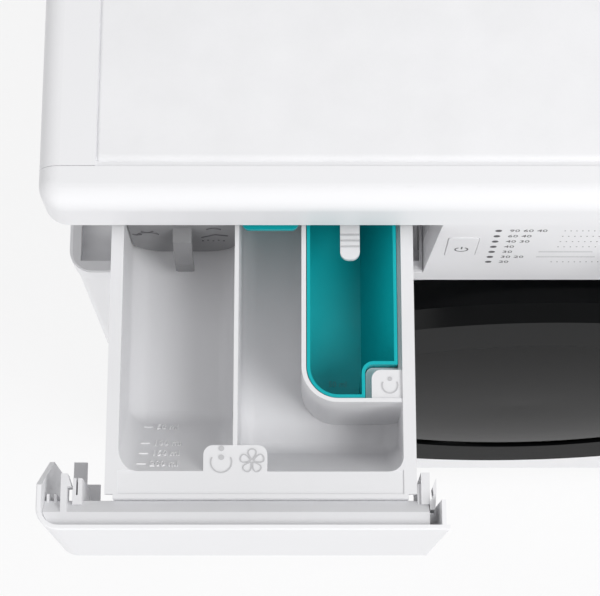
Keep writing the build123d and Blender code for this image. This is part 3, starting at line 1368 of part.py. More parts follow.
# Motor under the tub, its small pulley and the belt
motor_shaft_radius = 6
with BuildPart() as motor:
    bar_y(motor_x, motor_z, motor_radius, motor_front_y, motor_back_y)
    fillet(motor.edges().filter_by(GeomType.CIRCLE), radius=8)
    bar_y(motor_x, motor_z, 20, motor_back_y - 1, motor_back_y + 8)
    bar_y(motor_x, motor_z, motor_shaft_radius + pin_fit, motor_back_y - 40, motor_back_y + 9, Mode.SUBTRACT)
    block(motor_x - 20, motor_x + 20, motor_front_y + 20, motor_front_y + 60, motor_z - motor_radius - 12,
          motor_z - motor_radius + 6)
motor.part.label = "motor"
export_step(motor.part, "parts/motor.step")

with BuildPart() as motor_pulley:
    bar_y(motor_x, motor_z, motor_pulley_radius, pulley_y - 4, pulley_y + pulley_width + 4)
    bar_y(motor_x, motor_z, motor_shaft_radius, motor_back_y - 38, pulley_y)
motor_pulley.part.label = "motor_pulley"
export_step(motor_pulley.part, "parts/motor_pulley.step")

belt_gap = 0.3
with BuildPart() as drive_belt:
    belt_y = pulley_y + (pulley_width + belt_width) / 2
    for grow, mode in ((belt_gap + belt_thickness, Mode.ADD), (belt_gap, Mode.SUBTRACT)):
        with BuildSketch(front_view(belt_y)) as loop:
            with Locations((0, axis_z)):
                Circle(pulley_radius + grow)
            with Locations((motor_x, motor_z)):
                Circle(motor_pulley_radius + grow)
            make_hull()
        extrude(amount=belt_width, mode=mode)
drive_belt.part.label = "drive_belt"
export_step(drive_belt.part, "parts/drive_belt.step")

# Concrete counterweight on the tub
weight_thickness = 70
weight_front_y = tub_front_y + 15
weight_back_y = tub_split_y - 16
weight_start = 36
weight_end = 96
with BuildPart() as counterweight:
    with BuildSketch(front_view(weight_back_y)) as sector:
        with Locations((0, axis_z)):
            Circle(tub_radius + fit_gap + weight_thickness)
            Circle(tub_radius + fit_gap, mode=Mode.SUBTRACT)
        with BuildLine():
            reach = 2 * tub_radius
            middle = (weight_start + weight_end) / 2
            Polyline(
                (0, axis_z),
                (reach * cos(radians(weight_start)), axis_z + reach * sin(radians(weight_start))),
                (reach * cos(radians(middle)), axis_z + reach * sin(radians(middle))),
                (reach * cos(radians(weight_end)), axis_z + reach * sin(radians(weight_end))),
                close=True)
        make_face(mode=Mode.INTERSECT)
    extrude(amount=weight_back_y - weight_front_y)
    fillet(counterweight.edges().filter_by(Axis.Y), radius=6)
counterweight.part.label = "counterweight"
export_step(counterweight.part, "parts/counterweight.step")

# Two suspension springs, hung from the cabinet brackets
spring_radius = 13
spring_cap_radius = 7
with BuildPart() as suspension_springs:
    for side in (-1, 1):
        x = side * spring_x
        bar_z(x, spring_y, spring_radius, spring_lug_z + 14, hanger_z - 14)
        bar_z(x, spring_y, spring_radius - 4, spring_lug_z + 18, hanger_z - 18, Mode.SUBTRACT)
        bar_z(x, spring_y, spring_rod_radius, hanger_z - 15, hanger_z + hanger_thickness + 6)
        bar_z(x, spring_y, spring_cap_radius, hanger_z + hanger_thickness + 0.1,
              hanger_z + hanger_thickness + 6)
        bar_z(x, spring_y, spring_rod_radius, spring_lug_z - spring_lug_thickness - 6, spring_lug_z + 15)
        bar_z(x, spring_y, spring_cap_radius, spring_lug_z - spring_lug_thickness - 6,
              spring_lug_z - spring_lug_thickness - 0.1)
suspension_springs.part.label = "suspension_springs"
export_step(suspension_springs.part, "parts/suspension_springs.step")

# Two friction dampers between the base and the tub
rod_radius = 6
rod_length = 148
rod_inside = 70
rod_top = damper_lug_z - damper_lug_thickness
rod_low = rod_top - rod_length
damper_bore = rod_radius + fit_gap
damper_top = rod_low + rod_inside
with BuildPart() as damper_cylinders:
    for side in (-1, 1):
        bar_z(side * damper_x, damper_y, damper_radius, damper_seat_z, damper_top)
        bar_z(side * damper_x, damper_y, damper_bore, damper_seat_z + 6, damper_top + 1, Mode.SUBTRACT)
damper_cylinders.part.label = "damper_cylinders"
export_step(damper_cylinders.part, "parts/damper_cylinders.step")

with BuildPart() as damper_rods:
    for side in (-1, 1):
        bar_z(side * damper_x, damper_y, rod_radius, rod_low, rod_top)
        bar_z(side * damper_x, damper_y, rod_radius + 5, rod_top - 8, rod_top)
damper_rods.part.label = "damper_rods"
export_step(damper_rods.part, "parts/damper_rods.step")

# Bellows hose from the dispenser to the tub
bellows_rib = 3
with BuildPart() as dispenser_hose:
    bar_z(outlet_x, outlet_y, outlet_radius + fit_gap + 3, inlet_spigot_top - 18, outlet_low + 16)
    for step in range(6):
        rib_z = inlet_spigot_top + 5 + 7 * step
        bar_z(outlet_x, outlet_y, outlet_radius + fit_gap + 3 + bellows_rib, rib_z, rib_z + 3)
    bar_z(outlet_x, outlet_y, outlet_radius + fit_gap, inlet_spigot_top - 19, outlet_low + 17, Mode.SUBTRACT)
    # The lower end follows the round tub
    bar_y(0, axis_z, tub_radius + fit_gap, tub_front_y, tub_split_y, Mode.SUBTRACT)
dispenser_hose.part.label = "dispenser_hose"
export_step(dispenser_hose.part, "parts/dispenser_hose.step")

# Drain pump with the filter bore behind the service flap
filter_radius = 27
filter_depth = 70
pump_inlet_x = service_x - pump_radius - 16
pump_outlet_y = pump_back_y - 20
with BuildPart() as drain_pump:
    bar_y(service_x, service_z, pump_radius, pump_front_y, pump_back_y)
    bar_x(sump_y, service_z, sump_radius, pump_inlet_x, service_x - 10)
    bar_x(pump_outlet_y, service_z, drain_radius - 3, service_x + 10, service_x + pump_radius + 18)
    bar_y(service_x, service_z, filter_radius + fit_gap, pump_front_y - 1, pump_front_y + filter_depth + 3,
          Mode.SUBTRACT)
    bar_x(sump_y, service_z, sump_radius - 2.5, pump_inlet_x - 1, service_x - 20, Mode.SUBTRACT)
    # Fixing flange against the front panel
    with BuildSketch(front_view(pump_front_y + 4)):
        with Locations((service_x, service_z)):
            Circle(pump_radius + 4)
            Circle(pump_radius - 1, mode=Mode.SUBTRACT)
    extrude(amount=4)
drain_pump.part.label = "drain_pump"
export_step(drain_pump.part, "parts/drain_pump.step")

# Filter plug with a cross grip
grip_depth = 6
with BuildPart() as pump_filter:
    bar_y(service_x, service_z, filter_radius, pump_front_y - 2, pump_front_y + 8)
    bar_y(service_x, service_z, filter_radius - 6, pump_front_y + 7, pump_front_y + filter_depth)
    bar_y(service_x, service_z, filter_radius - 9, pump_front_y + 14, pump_front_y + filter_depth - 3,
          Mode.SUBTRACT)
    for height in (18, 36, 54):
        block(service_x - 40, service_x + 40, pump_front_y + height, pump_front_y + height + 10,
              service_z - 9, service_z + 9, Mode.SUBTRACT)
    block(service_x - 22, service_x + 22, pump_front_y - 2 - grip_depth, pump_front_y - 1,
          service_z - 4, service_z + 4)
pump_filter.part.label = "pump_filter"
export_step(pump_filter.part, "parts/pump_filter.step")

# Hose from the sump to the pump
sump_bend = 38
with BuildPart() as sump_hose:
    with BuildLine() as sump_route:
        FilletPolyline(
            (sump_x, sump_y, sump_low + 14),
            (sump_x, sump_y, service_z),
            (pump_inlet_x + 14, sump_y, service_z),
            radius=sump_bend)
    with BuildSketch(Plane(sump_route.line @ 0, z_dir=sump_route.line % 0)):
        Circle(sump_radius + fit_gap + 3)
        Circle(sump_radius + fit_gap, mode=Mode.SUBTRACT)
    sweep(path=sump_route.line)
sump_hose.part.label = "sump_hose"
export_step(sump_hose.part, "parts/sump_hose.step")

# Drain pipe from the pump, up the back corner and out through the wall
drain_bend = 28
drain_stub = 25
drain_back_y = back_y - 47.5
with BuildPart() as drain_pipe:
    with BuildLine() as drain_route:
        FilletPolyline(
            (service_x + pump_radius + 2, pump_outlet_y, service_z),
            (drain_x, pump_outlet_y, service_z),
            (drain_x, drain_back_y, service_z),
            (drain_x, drain_back_y, drain_z),
            (drain_x, back_y + drain_stub, drain_z),
            radius=drain_bend)
    with BuildSketch(Plane(drain_route.line @ 0, z_dir=drain_route.line % 0)):
        Circle(drain_radius)
        Circle(drain_radius - 3 + fit_gap, mode=Mode.SUBTRACT)
    sweep(path=drain_route.line)
    bar_y(drain_x, drain_z, drain_radius + 1, back_y + 4, back_y + drain_stub)
    bar_y(drain_x, drain_z, drain_radius - 3 + fit_gap, back_y, back_y + drain_stub + 1, Mode.SUBTRACT)
drain_pipe.part.label = "drain_pipe"
export_step(drain_pipe.part, "parts/drain_pipe.step")

# Service flap, flush in the front panel, pivoting at its lower edge
flap_gap = 0.6
with BuildPart() as service_flap:
    with BuildSketch(front_view(panel_y + 2.5)):
        with Locations((service_x, service_z)):
            RectangleRounded(service_width - 2 * flap_gap, service_height - 2 * flap_gap,
                             service_corner - 0.5)
    extrude(amount=2.5)
    block(service_x - service_width / 2 + 2, service_x + service_width / 2 - 2,
          panel_y + 1, service_pin_y + 2.5, service_pin_z - 2.5, service_pin_z + 2.5)
    bar_x(service_pin_y, service_pin_z, service_pin_radius, service_x - service_width / 2 - 6.5,
          service_x + service_width / 2 + 6.5)
    # Coin slot at the top edge
    block(service_x - 9, service_x + 9, panel_y - 1, panel_y + 1.2, service_z + service_height / 2 - 9,
          service_z + service_height / 2 - 5, Mode.SUBTRACT)
service_flap.part.label = "service_flap"
export_step(service_flap.part, "parts/service_flap.step")

# Rubber door gasket between the front panel and the tub neck
gasket_front = panel_y + port_depth + sheet + 0.3
gasket_lip_radius = port_lip_radius - 23.2
neck_outer = tub_neck_radius + tub_wall
with BuildPart() as door_gasket:
    turned([
        (gasket_front, neck_outer + 5),
        (gasket_front, port_lip_radius - 4),
        (gasket_front - 2.3, gasket_lip_radius + 0.6),
        (gasket_front + 0.7, gasket_lip_radius),
        (gasket_front + 3.7, port_lip_radius - 5),
        (gasket_front + 6, neck_outer - 4),
        (gasket_front + 14, neck_outer + 10),
        (tub_neck_y - 8, neck_outer + 10),
        (tub_neck_y, neck_outer + fit_gap),
        (tub_front_y - 4, neck_outer + fit_gap),
        (tub_front_y - 4, neck_outer + 5),
        (tub_neck_y + 1, neck_outer + 5),
        (tub_neck_y - 6, neck_outer + 14),
        (gasket_front + 12, neck_outer + 14),
        (gasket_front + 5, neck_outer + 5),
    ])
door_gasket.part.label = "door_gasket"
export_step(door_gasket.part, "parts/door_gasket.step")

# Door frame: black ring with a bevelled rim and a seat for the lens
door_skin = 4
door_bevel = 10
lens_drop = 5.7
recess_low = axis_z + 60
recess_length = 110
recess_reach = 34
with BuildPart() as door_frame:
    turned([
        (door_back_y, door_radius),
        (door_front_y + door_bevel, door_radius),
        (door_front_y, door_radius - door_bevel),
        (door_front_y, door_lens_radius),
        (door_front_y + lens_drop, door_lens_radius),
        (door_front_y + lens_drop, door_lens_radius - 12),
        (door_front_y + lens_drop + door_skin, door_lens_radius - 12),
        (door_front_y + lens_drop + door_skin, door_lens_radius + door_skin),
        (door_front_y + door_skin, door_lens_radius + door_skin),
        (door_front_y + door_skin, door_radius - door_bevel - 1.5),
        (door_front_y + door_bevel + 1.5, door_radius - door_skin),
        (door_back_y, door_radius - door_skin),
    ])
    # Finger recess behind the rim at the right
    block(door_radius - recess_reach, door_radius + 1, door_front_y + 13, door_back_y + 1, recess_low,
          recess_low + recess_length, Mode.SUBTRACT)
door_frame.part.label = "door_frame"
export_step(door_frame.part, "parts/door_frame.step")

hook_pin_y = door_back_y - 3
hook_pin_radius = 1.2
hook_pin_grip = 3
hook_half = 8
hook_slot = hook_half + 1
glass_flange_front = door_front_y + lens_drop + door_skin + 0.2
glass_flange_back = glass_flange_front + 6.6
glass_flange_radius = door_lens_radius - 4
glass_outer = gasket_lip_radius + 8.2
glass_wall = 5.5
with BuildPart() as door_inner_ring:
    turned([
        (glass_flange_back + 0.3, glass_outer + 1),
        (glass_flange_back + 0.3, glass_flange_radius),
        (door_back_y - 5, glass_flange_radius),
        (door_back_y - 5, door_radius - door_skin - 0.5),
        (door_back_y - 1, door_radius - door_skin - 0.5),
        (door_back_y - 1, glass_outer + 1),
    ])
    # Cleared for the finger recess and for the hook
    block(door_radius - recess_reach - 4, door_radius + 1, door_front_y, door_back_y + 1, recess_low - 4,
          recess_low + recess_length + 4, Mode.SUBTRACT)
    block(lock_x - 6, lock_x + 6, door_front_y, door_back_y + 1, axis_z - hook_slot, axis_z + hook_slot,
          Mode.SUBTRACT)
    bar_z(lock_x, hook_pin_y, hook_pin_radius + pin_fit, axis_z - hook_slot - hook_pin_grip - 0.5,
          axis_z + hook_slot + hook_pin_grip + 0.5, Mode.SUBTRACT)
door_inner_ring.part.label = "door_inner_ring"
export_step(door_inner_ring.part, "parts/door_inner_ring.step")

# Glass bowl that reaches into the drum mouth
glass_back_y = drum_front_y + 26
with BuildPart() as door_glass:
    turned([
        (glass_flange_front, glass_flange_radius),
        (glass_flange_back, glass_flange_radius),
        (glass_flange_back, glass_outer),
        (glass_back_y - 20, glass_outer - 34),
        (glass_back_y - 6, glass_outer - 51),
        (glass_back_y, glass_outer - 85),
        (glass_back_y, 0),
        (glass_back_y - 5, 0),
        (glass_back_y - 5, glass_outer - 87),
        (glass_back_y - 10, glass_outer - 55),
        (glass_back_y - 23, glass_outer - 39),
        (glass_flange_back, glass_outer - glass_wall),
        (glass_flange_front, glass_outer - glass_wall),
    ])
door_glass.part.label = "door_glass"
export_step(door_glass.part, "parts/door_glass.step")

# Domed dark lens over the door
lens_dome = 2.4
with BuildPart() as door_lens:
    with BuildSketch(axle_plane):
        with BuildLine():
            lens_back = door_front_y + lens_drop
            Polyline((door_front_y + 2, door_lens_radius - fit_gap), (lens_back, door_lens_radius - fit_gap),
                     (lens_back, 0), (door_front_y - lens_dome, 0))
            ThreePointArc((door_front_y - lens_dome, 0),
                          (door_front_y - lens_dome * 0.55, door_lens_radius * 0.6),
                          (door_front_y + 2, door_lens_radius - fit_gap))
        make_face()
    revolve(axis=axle)
door_lens.part.label = "door_lens"
export_step(door_lens.part, "parts/door_lens.step")

# Door hinge: bracket on the panel, arm on the door, pin through both
knuckle_half = 20
bracket_half = 42
with BuildPart() as hinge_bracket:
    block(hinge_x - 22, hinge_x + 4, panel_y - 3, panel_y,
          axis_z - bracket_half - 8, axis_z + bracket_half + 8)
    for low, high in ((-bracket_half, -knuckle_half - 1), (knuckle_half + 1, bracket_half)):
        bar_z(hinge_x, hinge_y, hinge_knuckle_radius, axis_z + low, axis_z + high)
        block(hinge_x - hinge_knuckle_radius, hinge_x + 4, hinge_y, panel_y - 2, axis_z + low, axis_z + high)
        bar_z(hinge_x, hinge_y, hinge_pin_radius + 0.02, axis_z + low - 1, axis_z + high + 1, Mode.SUBTRACT)
hinge_bracket.part.label = "hinge_bracket"
export_step(hinge_bracket.part, "parts/hinge_bracket.step")

with BuildPart() as hinge_pin:
    bar_z(hinge_x, hinge_y, hinge_pin_radius, axis_z - bracket_half - 2, axis_z + bracket_half)
    bar_z(hinge_x, hinge_y, hinge_pin_radius + 2, axis_z + bracket_half, axis_z + bracket_half + 2.5)
hinge_pin.part.label = "hinge_pin"
export_step(hinge_pin.part, "parts/hinge_pin.step")

with BuildPart() as hinge_arm:
    bar_z(hinge_x, hinge_y, hinge_knuckle_radius, axis_z - knuckle_half, axis_z + knuckle_half)
    block(hinge_x, hinge_x + 14, hinge_y - 5, hinge_y + 5, axis_z - knuckle_half, axis_z + knuckle_half)
    bar_y(0, axis_z, door_radius + 0.15, hinge_y - 20, hinge_y + 20, Mode.SUBTRACT)
    bar_z(hinge_x, hinge_y, hinge_pin_radius + pin_fit, axis_z - 40, axis_z + 40, Mode.SUBTRACT)
hinge_arm.part.label = "hinge_arm"
export_step(hinge_arm.part, "parts/hinge_arm.step")

# Door hook, turning on a pin in the inner ring
with BuildPart() as door_hook:
    block(lock_x - 3, lock_x + 3, hook_pin_y - 6, panel_y + 24, axis_z - hook_half, axis_z + hook_half)
    block(lock_x - 5.5, lock_x - 2, panel_y + 18, panel_y + 24, axis_z - hook_half, axis_z + hook_half)
    bar_z(lock_x, hook_pin_y, hook_pin_radius, axis_z - hook_slot - hook_pin_grip,
          axis_z + hook_slot + hook_pin_grip)
door_hook.part.label = "door_hook"
export_step(door_hook.part, "parts/door_hook.step")

# Door lock behind the front panel
with BuildPart() as door_lock:
    block(lock_x - 15, lock_x + 16, panel_y + sheet, panel_y + 40, axis_z - 20, axis_z + 20)
    block(lock_x - 9, lock_x + 10, panel_y, panel_y + 32, axis_z - 12, axis_z + 12, Mode.SUBTRACT)
door_lock.part.label = "door_lock"
export_step(door_lock.part, "parts/door_lock.step")
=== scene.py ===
import math

import bmesh
import bpy
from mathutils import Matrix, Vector


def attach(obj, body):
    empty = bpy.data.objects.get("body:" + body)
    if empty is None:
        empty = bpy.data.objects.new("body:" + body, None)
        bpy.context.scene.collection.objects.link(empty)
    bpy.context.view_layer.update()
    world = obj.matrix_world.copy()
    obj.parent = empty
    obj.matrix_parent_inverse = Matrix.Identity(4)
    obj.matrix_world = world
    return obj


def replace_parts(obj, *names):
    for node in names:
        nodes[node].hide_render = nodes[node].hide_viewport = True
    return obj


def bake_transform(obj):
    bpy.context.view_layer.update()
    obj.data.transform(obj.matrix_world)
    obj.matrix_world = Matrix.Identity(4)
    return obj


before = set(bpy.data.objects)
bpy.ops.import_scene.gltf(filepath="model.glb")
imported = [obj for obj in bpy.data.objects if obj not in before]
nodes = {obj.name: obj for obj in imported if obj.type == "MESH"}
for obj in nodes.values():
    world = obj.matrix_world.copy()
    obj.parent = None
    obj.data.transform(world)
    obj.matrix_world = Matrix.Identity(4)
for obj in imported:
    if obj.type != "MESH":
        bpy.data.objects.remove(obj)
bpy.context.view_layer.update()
scene = bpy.context.scene
mm = 0.001
print("frame loaded:", len(nodes), "nodes")

# Camera over the front left corner, tipped a little towards the back
cameraSetup = {
    "place": (-0.1606, -0.5812, 1.7770),
    "tiltDegrees": 15.54,
    "focalPixels": 1855.7,
    "imageWidth": 600,
    "sensorWidth": 36.0,
    "clipEnd": 50,
}


def placeCamera(setup):
    data = bpy.data.cameras.new("photoCamera")
    data.sensor_fit = "HORIZONTAL"
    data.sensor_width = setup["sensorWidth"]
    data.lens = setup["sensorWidth"] * setup["focalPixels"] / setup["imageWidth"]
    data.clip_end = setup["clipEnd"]
    camera = bpy.data.objects.new("photoCamera", data)
    camera.location = setup["place"]
    camera.rotation_euler = (math.radians(setup["tiltDegrees"]), 0, 0)
    scene.collection.objects.link(camera)
    scene.camera = camera


placeCamera(cameraSetup)
print("camera placed")


# Adds a node to a tree. Its inputs are values or links, given by name or, as in _0, by number
def addNode(tree, kind, settings=None, output=0, **inputs):
    node = tree.nodes.new(kind)
    for key, value in (settings or {}).items():
        setattr(node, key, value)
    for key, value in inputs.items():
        socket = node.inputs[int(key[1:])] if key[1:].isdigit() else node.inputs[key.replace("_", " ")]
        if isinstance(value, bpy.types.NodeSocket):
            tree.links.new(value, socket)
        else:
            socket.default_value = value
    return node.outputs[output]


# Studio: pale floor, even sky, one broad lamp over the front right and a fill from the front left
studio = {
    "floorHalf": 6.0,
    "floorColour": (0.86, 0.86, 0.87),
    "floorRoughness": 0.9,
    "floorGlow": 0.82,
    "skyStrength": 0.5,
    "seenStrength": 1.0,
    "keyPlace": (1.5, -1.2, 3.1),
    "keyAim": (-0.1, -0.2, 0.75),
    "keySize": 1.6,
    "keyWatts": 50,
    "fillPlace": (-1.8, -2.6, 1.5),
    "fillAim": (-0.1, -0.2, 0.5),
    "fillSize": 2.0,
    "fillWatts": 24,
}


# 1 on rays from the camera, off gloss and through glass
def seenRays(tree):
    path = tree.nodes.new("ShaderNodeLightPath")
    total = path.outputs["Is Camera Ray"]
    for ray in ("Is Glossy Ray", "Is Transmission Ray"):
        total = addNode(tree, "ShaderNodeMath", {"operation": "MAXIMUM"}, _0=total, _1=path.outputs[ray])
    return total


def makeSky(setup):
    world = bpy.data.worlds.new("studioSky")
    world.use_nodes = True
    scene.world = world
    tree = world.node_tree
    background = tree.nodes["Background"]
    strength = addNode(tree, "ShaderNodeMapRange", output="Result", Value=seenRays(tree),
                       To_Min=setup["skyStrength"], To_Max=setup["seenStrength"])
    tree.links.new(strength, background.inputs["Strength"])
    background.inputs["Color"].default_value = (1, 1, 1, 1)


def makeFloor(setup):
    half = setup["floorHalf"]
    mesh = bpy.data.meshes.new("studioFloor")
    corners = [(-half, -half, 0), (half, -half, 0), (half, half, 0), (-half, half, 0)]
    mesh.from_pydata(corners, [], [(0, 1, 2, 3)])
    floor = bpy.data.objects.new("studioFloor", mesh)
    scene.collection.objects.link(floor)
    material = bpy.data.materials.new("studioFloor")
    material.use_nodes = True
    tree = material.node_tree
    shader = tree.nodes["Principled BSDF"]
    shader.inputs["Base Color"].default_value = (*setup["floorColour"], 1)
    shader.inputs["Roughness"].default_value = setup["floorRoughness"]
    glow = addNode(tree, "ShaderNodeEmission")
    share = addNode(tree, "ShaderNodeMath", {"operation": "MULTIPLY"}, _0=seenRays(tree),
                    _1=setup["floorGlow"])
    mixed = addNode(tree, "ShaderNodeMixShader", _0=share, _1=shader.outputs[0], _2=glow)
    tree.links.new(mixed, tree.nodes["Material Output"].inputs["Surface"])
    mesh.materials.append(material)


def addLamp(name, place, aim, size, watts):
    data = bpy.data.lights.new(name, "AREA")
    data.shape = "DISK"
    data.size = size
    data.energy = watts
    lamp = bpy.data.objects.new(name, data)
    lamp.location = place
    lamp.rotation_euler = (Vector(aim) - Vector(place)).to_track_quat("-Z", "Y").to_euler()
    scene.collection.objects.link(lamp)


scene.view_settings.view_transform = "Standard"
makeSky(studio)
makeFloor(studio)
for lampName in ("key", "fill"):
    addLamp(lampName + "Lamp", studio[lampName + "Place"], studio[lampName + "Aim"],
            studio[lampName + "Size"], studio[lampName + "Watts"])
print("studio lit")


# Colour as it is written on a screen, turned to scene light
def screenColour(code):
    knee, slope, offset, power = 0.04045, 12.92, 0.055, 2.4
    parts = [int(code[i:i + 2], 16) / 255 for i in (0, 2, 4)]
    return [p / slope if p <= knee else ((p + offset) / (1 + offset)) ** power for p in parts]


# Material whose colour, roughness and bump follow noise on Object coordinates
class Finish:
    noiseLow = 0.3
    noiseHigh = 0.7

    def __init__(self, code, roughness, **inputs):
        self.material = bpy.data.materials.new("finish")
        self.material.use_nodes = True
        self.tree = self.material.node_tree
        self.inputs = self.tree.nodes["Principled BSDF"].inputs
        self.colour = screenColour(code)
        self.roughness = roughness
        self.coords = addNode(self.tree, "ShaderNodeTexCoord", output="Object")
        self.material.diffuse_color = (*self.colour, 1)
        self.inputs["Base Color"].default_value = (*self.colour, 1)
        self.inputs["Roughness"].default_value = roughness
        for label, value in inputs.items():
            self.inputs[label.replace("_", " ")].default_value = value

    def noise(self, scale, detail, stretch=None):
        coords = self.coords
        if stretch:
            coords = addNode(self.tree, "ShaderNodeMapping", Vector=coords, Scale=stretch)
        return addNode(self.tree, "ShaderNodeTexNoise", output="Fac", Vector=coords, Scale=scale,
                       Detail=detail)

    def ranged(self, value, low, high):
        return addNode(self.tree, "ShaderNodeMapRange", output="Result", Value=value, From_Min=self.noiseLow,
                       From_Max=self.noiseHigh, To_Min=low, To_Max=high)

    # Colour from a darker to a lighter share of itself
    def tint(self, value, dark, light):
        shades = [(*[min(1.0, c * share) for c in self.colour], 1) for share in (dark, light)]
        mixed = addNode(self.tree, "ShaderNodeMix", {"data_type": "RGBA"}, "Result",
                        A=shades[0], B=shades[1], Factor=self.ranged(value, 0.0, 1.0))
        self.tree.links.new(mixed, self.inputs["Base Color"])

    # Roughness from less to more than the plain one
    def sheen(self, value, less, more):
        spread = self.ranged(value, self.roughness - less, self.roughness + more)
        self.tree.links.new(spread, self.inputs["Roughness"])

    def bump(self, value, strength, distance):
        normal = addNode(self.tree, "ShaderNodeBump", output="Normal", Strength=strength, Distance=distance,
                         Height=value)
        self.tree.links.new(normal, self.inputs["Normal"])


# Painted sheet: smooth gloss with a faint orange peel
def enamelFinish(code, roughness):
    finish = Finish(code, roughness, Coat_Weight=0.04, Coat_Roughness=0.3)
    finish.tint(finish.noise(scale=6, detail=2), dark=0.985, light=1.01)
    finish.sheen(finish.noise(scale=30, detail=4), less=0.02, more=0.02)
    finish.bump(finish.noise(scale=90, detail=1), strength=0.004, distance=0.0006)
    return finish.material


# Moulded plastic: fine spark grain, faint flow shading, uneven sheen
def mouldedFinish(code, roughness, grain=1400, depth=0.04, vary=0.02, specular=0.5, uneven=0.07, coat=0.0):
    finish = Finish(code, roughness, Specular_IOR_Level=specular, Coat_Weight=coat, Coat_Roughness=0.14)
    finish.tint(finish.noise(scale=11, detail=3), dark=1 - vary, light=1 + vary)
    finish.sheen(finish.noise(scale=55, detail=5), less=uneven, more=uneven)
    finish.bump(finish.noise(scale=grain, detail=2), strength=depth, distance=0.0004)
    return finish.material


# Laminated worktop board: pale, faintly clouded, pebbled
def laminateFinish(code, roughness):
    finish = Finish(code, roughness)
    finish.tint(finish.noise(scale=38, detail=6), dark=0.975, light=1.015)
    finish.sheen(finish.noise(scale=160, detail=4), less=0.06, more=0.08)
    finish.bump(finish.noise(scale=700, detail=4), strength=0.12, distance=0.0005)
    return finish.material


# Brushed or rolled metal: streaks along one axis
def brushedFinish(code, roughness, streak):
    finish = Finish(code, roughness, Metallic=1.0)
    lines = finish.noise(scale=1, detail=4, stretch=streak)
    finish.tint(lines, dark=0.86, light=1.06)
    finish.sheen(lines, less=0.08, more=0.1)
    finish.bump(lines, strength=0.06, distance=0.0003)
    return finish.material


# Cast metal, concrete or rubber: coarse skin with darker pits
def coarseFinish(code, roughness, grain, depth, vary, metallic=0.0):
    finish = Finish(code, roughness, Metallic=metallic)
    skin = finish.noise(scale=grain, detail=6)
    finish.tint(skin, dark=1 - vary, light=1 + vary)
    finish.sheen(finish.noise(scale=grain / 4, detail=4), less=0.1, more=0.08)
    finish.bump(skin, strength=depth, distance=0.0008)
    return finish.material


# Clear or smoked glass with faint wiping marks in its gloss
def glassFinish(code, roughness, bend=1.5, coat=0.0):
    finish = Finish(code, roughness, Transmission_Weight=1.0, IOR=bend, Coat_Weight=coat)
    wiping = finish.noise(scale=1, detail=5, stretch=(20, 20, 55))
    finish.tint(wiping, dark=0.97, light=1.02)
    finish.sheen(wiping, less=roughness * 0.5, more=roughness * 0.8)
    return finish.material


finishes = {
    "whiteEnamel": enamelFinish("f1f1f3", 0.36),
    "whiteGloss": mouldedFinish("f2f2f4", 0.42, grain=2200, depth=0.004, vary=0.004, specular=0.2,
                                uneven=0.015),
    "whiteBoard": laminateFinish("f2f2f4", 0.42),
    "paleGrey": mouldedFinish("e6e6e8", 0.42),
    "surroundGrey": mouldedFinish("dcdcde", 0.45),
    "tubGrey": mouldedFinish("b9bcbe", 0.6, grain=500, depth=0.12, vary=0.05),
    "flapGrey": mouldedFinish("88888a", 0.4),
    "teal": mouldedFinish("0cb0b6", 0.4, grain=1200, depth=0.05, vary=0.04, specular=0.25),
    "blackGloss": mouldedFinish("08090a", 0.3, grain=900, depth=0.01, vary=0.1, specular=0.0, coat=0.14),
    "blackPlastic": mouldedFinish("222224", 0.55, grain=900, depth=0.12, vary=0.1),
    "bluePlastic": mouldedFinish("3d5a91", 0.42),
    "boardGreen": mouldedFinish("25603a", 0.4, grain=500, depth=0.1, vary=0.1),
    "smokedLens": glassFinish("2a2b2e", 0.04, bend=1.02, coat=0.14),
    "clearGlass": glassFinish("e6efee", 0.03),
    "stainless": brushedFinish("c9cacc", 0.3, streak=(900, 14, 900)),
    "zincSteel": brushedFinish("b4b6b8", 0.38, streak=(300, 300, 40)),
    "castAluminium": coarseFinish("b4b6b8", 0.48, grain=260, depth=0.25, vary=0.08, metallic=1.0),
    "concrete": coarseFinish("8f8c86", 0.9, grain=180, depth=0.6, vary=0.2),
    "greyRubber": coarseFinish("6d6e71", 0.62, grain=500, depth=0.12, vary=0.08),
    "blackRubber": coarseFinish("232325", 0.7, grain=500, depth=0.15, vary=0.15),
    "markPale": mouldedFinish("f3f3f4", 0.45),
    # Grey a little darker than the drawer: painted shade on its raised signs and in the press tab's grooves
    "markGrey": mouldedFinish("c4c4c6", 0.45),
    "markTeal": mouldedFinish("12989d", 0.4),
    "markFlap": mouldedFinish("6a6a6d", 0.45),
    "markDark": mouldedFinish("4a4a4d", 0.5, grain=2200, depth=0.01, vary=0.05),
    "markGlow": mouldedFinish("e8eef0", 0.4, grain=2200, depth=0.01),
}
for finishName, material in finishes.items():
    material.name = finishName

